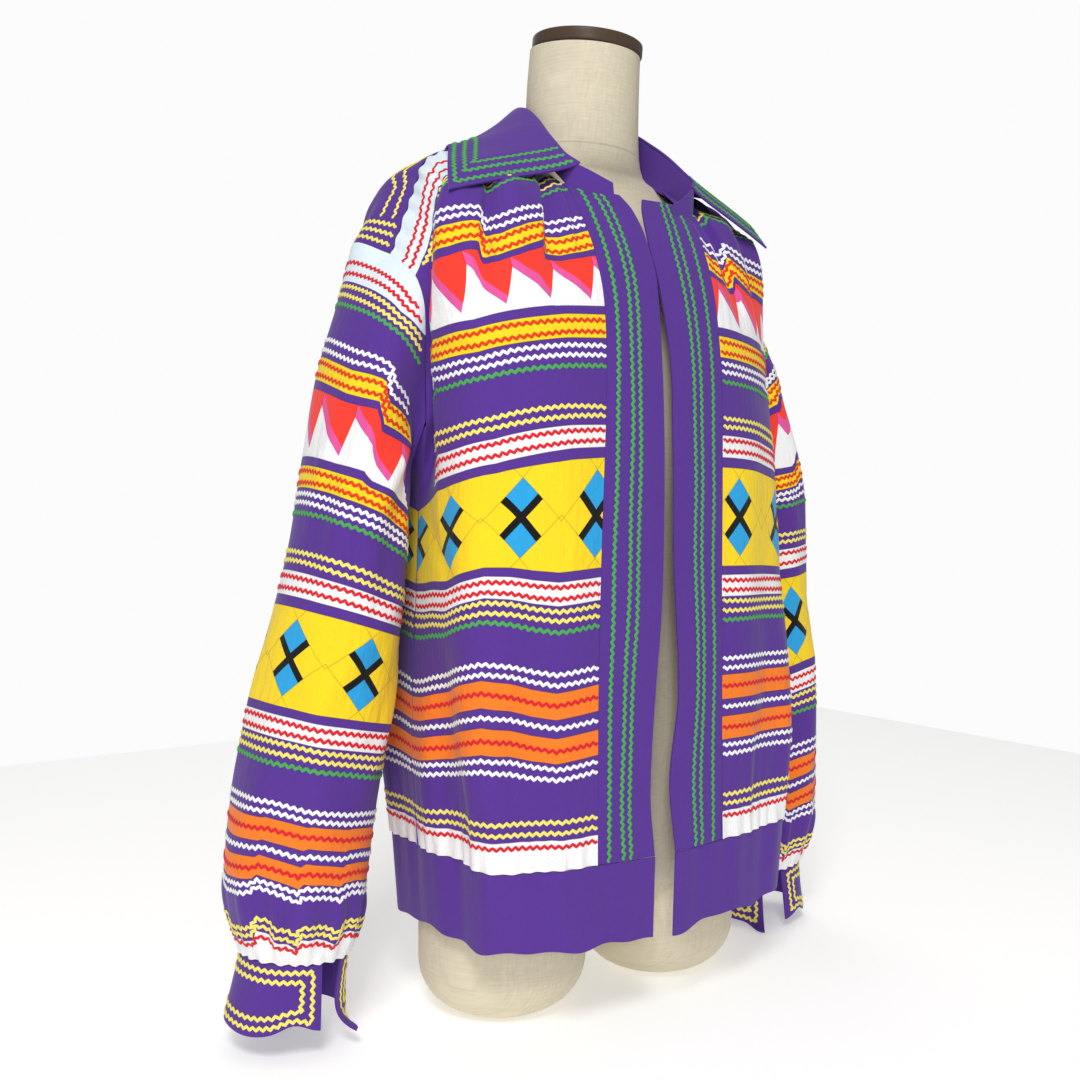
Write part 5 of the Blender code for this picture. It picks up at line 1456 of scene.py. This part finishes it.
def braid(sheet, name, rows, seed):
    """Rickrack laid along rows of a piece's cloth.

    Each row is (shares across, shares up, colour, closed). Its middle swings to and fro by a
    sine of the length run along the cloth, and the braid is a flat lens in section.
    """
    settings = bpy.context.scene.jacket_braid
    draw = np.random.default_rng(seed)
    points, quads, slots, colours, start = [], [], [], [], 0
    for across, up, colour, closed in rows:
        number = np.arange(len(across))
        fine = np.linspace(0.0, len(across) - 1.0, BRAID_SAMPLES)
        across, up = np.interp(fine, number, across), np.interp(fine, number, up)
        run = lengths(sheet.at(across, up)[0])
        waves = max(2, int(round(run[-1] / settings.period)))
        count = waves * BRAID_STATIONS + (0 if closed else 1)
        along = np.arange(count) * run[-1] / (waves * BRAID_STATIONS)

        def on_path(distance):
            if closed:
                distance = distance % run[-1]
            return sheet.at(np.interp(distance, run, across), np.interp(distance, run, up))

        middle, normal = on_path(along)
        sideways = unit(np.cross(normal, on_path(along + BRAID_STEP)[0] - on_path(along - BRAID_STEP)[0]))
        wave = np.sin(2 * math.pi * np.arange(count) / BRAID_STATIONS)
        wander = BRAID_WANDER * np.sin(along / BRAID_WANDER_REACH + draw.uniform(0.0, TURN))
        swing = settings.swing * wave * draw.uniform(*BRAID_UNEVEN, count) + wander
        middle = middle + sideways * swing[:, None]
        step = np.roll(middle, -1, 0) - np.roll(middle, 1, 0) if closed else np.gradient(middle, axis=0)
        edge = unit(np.cross(normal, step)) * settings.breadth / 2
        lens = ((-1, BRAID_EDGE), (0, settings.thickness), (1, BRAID_EDGE), (0, -BRAID_EDGE))
        ring = [middle + edge * shift + normal * lift for shift, lift in lens]
        points.append(np.stack(ring, 1).reshape(-1, 3))
        index = start + np.arange(count * 4).reshape(count, 4)
        here, after = (index, np.roll(index, -1, 0)) if closed else (index[:-1], index[1:])
        turn = np.roll(np.arange(4), -1)
        faces = np.stack([here, here[:, turn], after[:, turn], after], -1).reshape(-1, 4)
        if not closed:
            faces = np.concatenate((faces, index[:1, ::-1], index[-1:]))
        if colour not in colours:
            colours.append(colour)
        quads.append(faces)
        slots.append(np.full(len(faces), colours.index(colour)))
        start += count * 4
    name, slot = name + "_rickrack", name
    mesh = make_mesh(name, np.concatenate(points), np.concatenate(quads), slots=np.concatenate(slots))
    return place(name, mesh, [braid_cloth(colour) for colour in colours], slot)


def level_row(level, heights, colour, plain_and_shade_part=None, around=False):
    """A row of braid where a grid of shown cloth heights reaches a level, as far as it does.

    Each column of the grid rises, so the row is found between two of its steps. It stops at
    the plain part beside the armhole.
    """
    low = np.clip((heights < level).sum(axis=0) - 1, 0, len(heights) - 2)
    here = np.take_along_axis(heights, low[None], 0)[0]
    after = np.take_along_axis(heights, low[None] + 1, 0)[0]
    up = (low + (level - here) / (after - here)) / (len(heights) - 1)
    share = np.linspace(0.0, 1.0, heights.shape[1])
    stopped = heights[-1] < level + ROW_BELOW_SEAM
    if plain_and_shade_part is not None:
        stopped = stopped | np.take_along_axis(plain_and_shade_part, low[None], 0)[0]
    free = share[~stopped]
    closed = around and not stopped.any()
    gap = ROW_STOP if around else ROW_END
    spots = np.linspace(*((0.0, 1.0) if closed else (free[0] + gap, free[-1] - gap)), ROW_POINTS)
    return (spots, np.interp(spots, share, up), colour, closed)


def cloth_rows(height_from, height_to, step):
    """Even steps of cloth height, as a column."""
    count = int(round((height_to - height_from) / step)) + 1
    return np.linspace(height_from, height_to, count)[:, None]


def panel_grid(width, step, edge_gap):
    """Cloth heights and shares over a panel that keeps clear of its seams."""
    height = cloth_rows(SEAM_GAP / 2, PANEL_HEIGHT - SEAM_GAP / 2, CLOTH_STEP)
    return np.broadcast_arrays(height, np.linspace(edge_gap, 1 - edge_gap, int(width / step) + 1))


def make_front(side, label):
    """One front panel and its rows of braid.

    Its loft is moved along the normal by creases, gathers at both seams and a hollow below
    the collar, and across by its pleats.
    """
    name = label + "_front"
    loft = front_loft(side)
    width = float(loft.width(FLAT_AT))
    height, share = panel_grid(width, PLEAT_STEP, FRONT_EDGE_GAP)
    push = gathers(WAIST_GATHERS, height, share * width)
    push = push + gathers(NECK_GATHERS, PANEL_HEIGHT - height, share * width)
    off, height_off = ((here - spot) / reach for here, spot, reach
                       in zip((share, height), COLLAR_HOLLOW_SPOT, COLLAR_HOLLOW_REACH))
    push = push - COLLAR_HOLLOW_DEPTH * bell(off) * bell(height_off)
    lean = relief(PLEATS, height, share, loft.width(height), fade=PLEAT_FADE) / loft.width(height)
    points = creased(loft, height, share, FRONT_FOLDS + FRONT_CREASES, extra=push, lean=lean)
    shown = height + lowered(RIGHT_SHIFTS if side < 0 else LEFT_SHIFTS, height, share)
    # Plain purple beside the armhole: partly the underarm's purple, partly painted shade of the crease.
    plain_and_shade_part = share > read(FRONT_UNDERARM if side < 0 else LEFT_UNDERARM, height)
    if side > 0:
        plain_and_shade_part = plain_and_shade_part | (share < read(LEFT_NECK_PLAIN, height))
    tuck = ARMHOLE_TUCK * np.clip((height[:, -1:] - GUSSET_TOP) / FADE, 0.0, 1.0)
    points[:, -1] += unit(points[:, -1] - points[:, -2]) * tuck
    sheet = Sheet(points, flip=side < 0)
    cloth = lay(name, sheet, side * share * loft.width(height), shown, PANEL_WALL, pieced_cloth(name),
                plain_and_shade_part)
    rows = [level_row(level, shown, colour, plain_and_shade_part) for level, colour in BRAID_ROWS + TOP_BRAID_ROWS]
    trim = braid(sheet, name, rows, BRAID_SEEDS["front"] + side)


def make_back():
    """The back and its rows of braid, three of them along each armhole."""
    loft = back_loft()
    width = float(loft.width(FLAT_AT))
    height, share = panel_grid(width, CLOTH_STEP, BACK_EDGE_GAP)
    points = creased(loft, height, share, both_sides(BACK_FOLDS + BACK_CREASES),
                     extra=gathers(WAIST_GATHERS, height, share * width))
    sheet = Sheet(points, flip=True)
    shown = height + lowered(BACK_SHIFTS, height, share) + lowered(EDGE_SHIFTS, height, 1 - share)
    # Plain purple at the sides beside the gussets: painted shade of the hollow under the arms.
    plain_and_shade_part = np.minimum(share, 1 - share) < BACK_PAINTED_SHADE_SHARE
    plain_and_shade_part = plain_and_shade_part & (shown > BACK_PAINTED_SHADE_FROM) & (height < GUSSET_TOP)
    cloth = lay("back", sheet, -share * loft.width(height), shown, PANEL_WALL, pieced_cloth("back"),
                plain_and_shade_part)
    rows = [level_row(level, shown, colour, plain_and_shade_part) for level, colour in BRAID_ROWS]
    for level, colour, inset in BACK_TOP_ROWS:
        spots, up, colour, closed = level_row(level, shown, colour)
        kept = (spots > inset / width) & (spots < 1 - inset / width)
        rows.append((spots[kept], up[kept], colour, closed))
    climb = np.linspace(GUSSET_TOP, PANEL_HEIGHT - ARMHOLE_ROW_STOP, ARMHOLE_ROW_POINTS) / PANEL_HEIGHT
    rows += [(np.full(len(climb), across), climb, "lemon", False)
             for inset in ARMHOLE_ROWS for across in (inset / width, 1 - inset / width)]
    trim = braid(sheet, "back", rows, BRAID_SEEDS["back"])


def sleeve_strips(side, height, share):
    """Cloth height that shows at a place on a sleeve.

    The rows run nearly level into the armhole's crease, where the slack of the inner side is
    tucked away: the height less a part of the drop of that side.
    """
    loft = sleeve_loft(side)
    level = sleeve_loft(side, drop=0.0)
    top = level.rows[-1]
    slack = PANEL_HEIGHT - np.minimum(PANEL_HEIGHT, CREASE_STRIP + CREASE_RATE * (top[:, 2] - CREASE_HEIGHT))
    top[:, 2] += slack / SLACK_TUCKED
    level.slopes = even_slopes(level.heights, level.rows)
    tucked = level.at(height, share)[..., 2] - loft.at(height, share)[..., 2]
    return height - SLACK_TUCKED * np.clip(tucked, 0.0, None)


def make_sleeve(side, label):
    """One sleeve tube, notched for the gusset, with its rows of braid. Its grid starts at the underarm."""
    name = label + "_sleeve"
    loft = sleeve_loft(side)
    width = float(loft.width(FLAT_AT))
    columns = int(width / CLOTH_STEP)
    rise = np.linspace(0.0, 1.0, int(PANEL_HEIGHT / CLOTH_STEP) + 1)[:, None]
    turned = np.repeat(0.5 + np.arange(columns + 1)[None] / columns, len(rise), 0)
    share = turned % 1.0
    height = SEAM_GAP / 2 + (sleeve_top(share) - SEAM_GAP / 2) * rise
    table = SLEEVE_FOLDS + SLEEVE_CREASES + (LEFT_PUFF if side > 0 else ())
    points = creased(loft, height, share, table, around=True,
                     extra=gathers(CUFF_GATHERS, height, share * width))
    shown = sleeve_strips(side, height, share) + lowered(SLEEVE_SHIFTS, height, share)
    if side > 0:
        shown = shown + read(LEFT_RISE, height) + read(LEFT_LEVEL, height) * np.cos(2 * math.pi * share)
    edge = read(SLEEVE_UNDERARM, height)
    plain_and_shade_part = (share > edge) & (share < 1 - edge) & (height > SLEEVE_UNDERARM[0][0])
    sheet = Sheet(points[:, :-1], closed=True, flip=side > 0)
    across = side * (1.0 - turned) * loft.width(height)
    cloth = lay(name, sheet, across, shown, SLEEVE_WALL, pieced_cloth(name), plain_and_shade_part)
    rows = [level_row(level, shown, colour, plain_and_shade_part, around=True)
            for level, colour in BRAID_ROWS + TOP_BRAID_ROWS]
    trim = braid(sheet, name, rows, BRAID_SEEDS["sleeve"] + side)


def make_gusset(side, label):
    """The plain square under one arm: a patch blended between its four seams."""
    front, back, sleeve_front, sleeve_back = gusset_edges(side)
    low = (front[:1] + back[:1]) / 2
    front = np.concatenate((low, front[1:-1], (front[-1:] + sleeve_front[-1:]) / 2))
    back = np.concatenate((low, back[1:-1], (back[-1:] + sleeve_back[-1:]) / 2))
    sleeve_front = np.concatenate((sleeve_front[:-1], front[-1:]))
    sleeve_back = np.concatenate((sleeve_back[:-1], back[-1:]))
    shares = np.linspace(GUSSET_GAP, 1 - GUSSET_GAP, GUSSET_CELLS + 1)
    points = coons(front, sleeve_back[::-1], back, sleeve_front[::-1], shares)
    points[..., 0] -= side * GUSSET_TUCK
    cloth = lay(label + "_gusset", Sheet(points, flip=side > 0), shares * GUSSET_SIDE,
                shares[:, None] * GUSSET_SIDE, SLEEVE_WALL, purple_cotton())


def make_placket(side, label):
    """One front band with three rows of green braid down it."""
    name = label + "_placket"
    height = cloth_rows(SEAM_GAP / 2, PLACKET_TOP, BAND_STEP)
    height, share = np.broadcast_arrays(height, np.linspace(PLACKET_INSET, 1.0, PLACKET_CELLS + 1))
    sheet = Sheet(placket_surface(side, height, share), flip=side > 0)
    cloth = lay(name, sheet, share * PLACKET_WIDTH, height, BAND_WALL, purple_cotton())
    climb = np.linspace(PLACKET_ROW_STOP, 1 - PLACKET_ROW_STOP, PLACKET_ROW_POINTS)
    rows = [(np.full(len(climb), inset / PLACKET_WIDTH), climb, "green", False) for inset in PLACKET_ROWS]
    trim = braid(sheet, name, rows, BRAID_SEEDS["placket"] + side)


def sines(table, along):
    """Sum of sines, each with its height, its rate and its start."""
    return sum(height * np.sin(along * rate + start) for height, rate, start in table)


def make_waistband():
    """The waistband strip, open in front."""
    down, across = (np.linspace(0.0, 1.0, cells + 1) for cells in WAISTBAND_CELLS)
    points = waistband_grid(down, across)
    points[..., 2] += sines(HEM_WAVES, across) * down[:, None] ** 2
    sheet = Sheet(points)
    ripple = sines(WAISTBAND_RIPPLES, across) * (1 - RIPPLE_LOSS * down[:, None])
    sheet.points += sheet.normals * ripple[..., None]
    cloth = lay("waistband", sheet, across * WAISTBAND_LENGTH, down[:, None] * WAISTBAND_HEIGHT, BAND_WALL,
                purple_cotton())


def make_cuff(side, label):
    """One cuff, open at its slit, the underlap curling outwards, with two rows of braid near its edges."""
    name = label + "_cuff"
    down, across = (np.linspace(0.0, 1.0, cells + 1) for cells in CUFF_CELLS)
    points = cuff_grid(side, down, across)
    length = float(lengths(points[CUFF_CELLS[0] // 2])[-1])
    fall = down[:, None]
    out = CUFF_CURL_OUT * bell(across / CUFF_CURL_REACH) * fall ** CUFF_CURL_POWER
    out = out - CUFF_LAP_IN * bell(across / CUFF_LAP_REACH) * fall
    out = out + CUFF_CORNER_OUT * bell((across - CUFF_CORNER) / CUFF_CORNER_REACH) * fall
    hollow = sum(lift * bell((across - spot) / reach) for spot, reach, lift in CUFF_HOLLOWS)
    hollow = hollow * fall ** CUFF_HOLLOW_POWER
    points = points + Sheet(points, flip=side < 0).normals * out[..., None] + UP * hollow[..., None]
    sheet = Sheet(points, flip=side < 0)
    cloth = lay(name, sheet, across * length, fall * CUFF_HEIGHT, BAND_WALL, purple_cotton())
    rows = []
    for inset in CUFF_ROWS:
        near, high = (inset + CUFF_ROW_GAP) / length, inset / CUFF_HEIGHT
        leg = np.linspace(0.0, 4.0, CUFF_ROW_POINTS)
        corners = ((near, near, 1 - near, 1 - near, near), (high, 1 - high, 1 - high, high, high))
        rows.append((*(np.interp(leg, range(5), corner) for corner in corners), "lemon", False))
    trim = braid(sheet, name, rows, BRAID_SEEDS["cuff"] + side)


def make_collar():
    """The neckband, and the collar's fall with three rows of braid along its ends and edge."""
    up, across = (np.linspace(0.0, 1.0, cells + 1) for cells in NECKBAND_CELLS)
    band = lay("neckband", Sheet(neckband_grid(up, across), flip=True), across * NECKBAND_LENGTH,
               up[:, None] * NECKBAND_HEIGHT, BAND_WALL, purple_cotton())

    down, across = (np.linspace(0.0, 1.0, cells + 1) for cells in COLLAR_CELLS)
    points = collar_grid(down, across)
    sheet = Sheet(points)
    row_length = np.linalg.norm(np.diff(points, axis=1), axis=2).sum(axis=1)
    depth = np.linalg.norm(np.diff(points, axis=0), axis=2).sum(axis=0)
    fall = lay("collar", sheet, (across - 0.5) * row_length[:, None], down[:, None] * depth, BAND_WALL,
               purple_cotton())
    rows = []
    for inset in COLLAR_ROWS:
        foot = 1 - inset / depth[0]
        climb = np.linspace(COLLAR_ROW_START, foot, COLLAR_END_POINTS)
        end = inset / np.interp(climb, down, row_length)
        edge = inset / np.interp(foot, down, row_length)
        middle = np.linspace(edge, 1 - edge, COLLAR_EDGE_POINTS)[1:-1]
        level = np.interp(middle, across, 1 - inset / depth)
        rows.append((np.concatenate((end, middle, 1 - end[::-1])),
                     np.concatenate((climb, level, climb[::-1])), "green", False))
    trim = braid(sheet, "collar", rows, BRAID_SEEDS["collar"])


def form_ring(ring, turn):
    """One ring of the dress form: half-width, front and back depth, and roundness in plan."""
    height, half_width, front_y, back_y, roundness = ring
    x, y = (np.sign(part) * np.abs(part) ** (2.0 / roundness) for part in (np.cos(turn), np.sin(turn)))
    y = np.where(y < 0, -front_y, back_y) * y
    tilted = np.clip((height - NECK_TILT_FROM) / (FORM_RINGS[-1][0] - NECK_TILT_FROM), 0, 1)
    tilt = math.tan(NECK_LEAN) * tilted
    return np.stack([half_width * x, y, height + y * tilt], 1)


def revolved(profile, sides, centre=(0.0, 0.0)):
    """Points of a profile of (radius, height) pairs turned about an upright axis."""
    turn = 2 * math.pi * np.arange(sides) / sides
    radius, height = profile[:, :1], profile[:, 1:]
    return np.stack(np.broadcast_arrays(centre[0] + radius * np.cos(turn), centre[1] + radius * np.sin(turn),
                                        height), -1)


def capped(name, points):
    """Closed mesh of rings of points with flat ends, its normals outwards."""
    mesh = bpy.data.meshes.new(name)
    mesh.from_pydata(points.reshape(-1, 3).tolist(), [], grid_quads(*points.shape[:2], True)[0].tolist())
    work = bmesh.new()
    work.from_mesh(mesh)
    bmesh.ops.holes_fill(work, edges=[edge for edge in work.edges if edge.is_boundary], sides=0)
    bmesh.ops.recalc_face_normals(work, faces=work.faces)
    work.to_mesh(mesh)
    work.free()
    return mesh


def rounded(mesh, angle):
    """A mesh shaded smooth but for its edges sharper than an angle."""
    mesh.shade_smooth()
    mesh.set_sharp_from_angle(angle=angle)
    return mesh


def make_form():
    """The dress form: trunk and neck lofted through their rings, joined with two rounded stumps."""
    table = np.array(FORM_RINGS)
    run = lengths(table[:, 0:3])
    turn = 2 * math.pi * np.arange(FORM_SIDES) / FORM_SIDES
    rings = smooth(run, table, np.linspace(0.0, run[-1], FORM_LEVELS + 1))
    points = np.stack([form_ring(ring, turn) for ring in rings])
    trunk = add_object("trunk", capped("trunk", points + STAND_SHIFT))
    stumps = []
    bend = np.linspace(0.0, math.pi / 2, STUMP_BEND_POINTS)
    profile = np.stack([STUMP_RADIUS - STUMP_FILLET + STUMP_FILLET * np.sin(bend),
                        STUMP_FILLET * (1 - np.cos(bend))], 1)
    profile = np.concatenate((profile, STUMP_SIDE_PROFILE))
    for side in (-1, 1):
        centre = (side * STUMP_SPREAD + STAND_SHIFT[0], STUMP_BACK + STAND_SHIFT[1])
        stump = add_object("stump", capped("stump", revolved(profile, STUMP_SIDES, centre)))
        stumps.append(stump)
        join = trunk.modifiers.new("join", "BOOLEAN")
        join.operation = "UNION"
        join.solver = "EXACT"
        join.object = stump
    bpy.context.view_layer.update()
    mesh = bpy.data.meshes.new_from_object(trunk.evaluated_get(bpy.context.evaluated_depsgraph_get()))
    for item in stumps + [trunk]:
        bpy.data.objects.remove(item)
    mesh.materials.clear()
    mesh.name = "form_cover"
    place("form_cover", rounded(mesh, FORM_SHARP), [linen_cloth()], "dress_form", "dress_form")


def make_cap():
    """The dark cap: a disc with rounded edges, tilted with the neck."""
    bend = np.linspace(0.0, math.pi / 2, CAP_BEND_POINTS)
    inner = CAP_RADIUS - CAP_EDGE
    low = np.stack([inner + CAP_EDGE * np.sin(bend), CAP_EDGE * (1 - np.cos(bend))], 1)
    high = np.stack([inner + CAP_EDGE * np.cos(bend), CAP_THICKNESS - CAP_EDGE * (1 - np.sin(bend))], 1)
    points = revolved(np.concatenate((low, high)), CAP_SIDES) + UP * CAP_GAP
    lean = np.array([[1.0, 0.0, 0.0],
                     [0.0, math.cos(NECK_LEAN), -math.sin(NECK_LEAN)],
                     [0.0, math.sin(NECK_LEAN), math.cos(NECK_LEAN)]])
    mesh = capped("cap_cover", points @ lean.T + NECK_TOP + STAND_SHIFT)
    material, shader = principled("dark cap", CAP_ROUGHNESS)
    feed(shader["Base Color"], paint("cap"))
    place("cap_cover", rounded(mesh, CAP_SHARP), [material], "neck_cap", "neck_cap")


def make_stage():
    """Pale floor, soft lights, bright world and the camera."""
    half = FLOOR_SIZE / 2
    mesh = bpy.data.meshes.new("floor")
    corners = [(-half, -half, 0), (half, -half, 0), (half, half, 0), (-half, half, 0)]
    mesh.from_pydata(corners, [], [(0, 1, 2, 3)])
    material, shader = principled("pale floor", FLOOR_ROUGHNESS)
    feed(shader["Base Color"], paint("floor"))
    feed(shader["Emission Color"], BRIGHT)
    feed(shader["Emission Strength"], FLOOR_GLOW)
    mesh.materials.append(material)
    add_object("floor", mesh)

    world = bpy.data.worlds.new("studio")
    world.use_nodes = True
    bpy.context.scene.world = world
    background = world.node_tree.nodes["Background"].inputs
    background["Color"].default_value = BRIGHT
    seen = Value(new_node(world.node_tree, "ShaderNodeLightPath").outputs["Is Camera Ray"])
    feed(background["Strength"], seen.scaled(WORLD_SEEN - WORLD_LIGHT, WORLD_LIGHT))

    for name, x, y, z, size, watts in LIGHTS:
        light = bpy.data.lights.new(name, "AREA")
        light.size = size
        light.energy = watts
        lamp = add_object(name, light)
        lamp.location = (x, y, z)
        aim = np.array(LIGHT_AIM) - (x, y, z)
        tilt, heading = math.acos(-aim[2] / np.linalg.norm(aim)), math.atan2(aim[1], aim[0])
        lamp.rotation_euler = (tilt, 0.0, heading - math.pi / 2)

    camera = bpy.data.cameras.new("camera")
    camera.lens = CAMERA_LENS
    camera.sensor_width = CAMERA_SENSOR
    camera.shift_x, camera.shift_y = CAMERA_SHIFT
    eye = add_object("camera", camera)
    eye.location = CAMERA_SPOT
    eye.rotation_euler = (math.pi / 2, 0.0, CAMERA_HEADING)
    bpy.context.scene.camera = eye
    bpy.context.scene.view_settings.view_transform = "Standard"


class JacketBraid(bpy.types.PropertyGroup):
    """Sizes of the rickrack braid."""

    __annotations__ = {key: bpy.props.FloatProperty(name=label, description=words, default=value, min=least,
                                                    unit="LENGTH")
                       for key, label, words, value, least in BRAID_SETTINGS}


class JacketColours(bpy.types.PropertyGroup):
    """Colours of cloth, braid, form and floor."""

    __annotations__ = {name: bpy.props.FloatVectorProperty(name=name.capitalize(),
                                                           description="Colour of what is " + name,
                                                           subtype="COLOR", size=3, min=0.0, max=1.0,
                                                           default=linear(seen))
                       for name, seen in SEEN_COLOURS.items()}


class JACKET_OT_form(bpy.types.Operator):
    """Build the dress form and its cap"""

    bl_idname = "jacket.form"
    bl_label = "Dress form"

    def execute(self, context):
        make_form()
        make_cap()
        return {"FINISHED"}


class JACKET_OT_body(bpy.types.Operator):
    """Build the back and the two fronts with their braid"""

    bl_idname = "jacket.body"
    bl_label = "Back and fronts"

    def execute(self, context):
        make_back()
        for side, label in SIDES:
            make_front(side, label)
        return {"FINISHED"}


class JACKET_OT_sleeves(bpy.types.Operator):
    """Build the sleeves, their braid and the gussets"""

    bl_idname = "jacket.sleeves"
    bl_label = "Sleeves and gussets"

    def execute(self, context):
        for side, label in SIDES:
            make_sleeve(side, label)
            make_gusset(side, label)
        return {"FINISHED"}


class JACKET_OT_bands(bpy.types.Operator):
    """Build the front bands, waistband, cuffs, neckband and collar"""

    bl_idname = "jacket.bands"
    bl_label = "Bands, cuffs and collar"

    def execute(self, context):
        for side, label in SIDES:
            make_placket(side, label)
            make_cuff(side, label)
        make_waistband()
        make_collar()
        return {"FINISHED"}


class JACKET_OT_stage(bpy.types.Operator):
    """Set up the floor, lights, world and camera"""

    bl_idname = "jacket.stage"
    bl_label = "Stage"

    def execute(self, context):
        make_stage()
        return {"FINISHED"}


OPERATORS = (JACKET_OT_form, JACKET_OT_body, JACKET_OT_sleeves, JACKET_OT_bands, JACKET_OT_stage)


class JACKET_PT_sidebar(bpy.types.Panel):
    """Settings and steps of the jacket"""

    bl_label = "Jacket"
    bl_idname = "JACKET_PT_sidebar"
    bl_space_type = "VIEW_3D"
    bl_region_type = "UI"
    bl_category = "Jacket"

    def draw(self, context):
        for settings in (context.scene.jacket_braid, context.scene.jacket_colours):
            for name in settings.bl_rna.properties.keys():
                if name not in ("rna_type", "name"):
                    self.layout.prop(settings, name)
        for operator in OPERATORS:
            self.layout.operator(operator.bl_idname)


CLASSES = (JacketBraid, JacketColours, *OPERATORS, JACKET_PT_sidebar)


def register():
    for item in CLASSES:
        bpy.utils.register_class(item)
    bpy.types.Scene.jacket_braid = bpy.props.PointerProperty(type=JacketBraid)
    bpy.types.Scene.jacket_colours = bpy.props.PointerProperty(type=JacketColours)


def unregister():
    del bpy.types.Scene.jacket_colours
    del bpy.types.Scene.jacket_braid
    for item in reversed(CLASSES):
        bpy.utils.unregister_class(item)


def main():
    """Builds everything in order."""
    register()
    bpy.ops.jacket.form()
    bpy.ops.jacket.body()
    bpy.ops.jacket.sleeves()
    bpy.ops.jacket.bands()
    bpy.ops.jacket.stage()


if __name__ == "__main__":
    main()
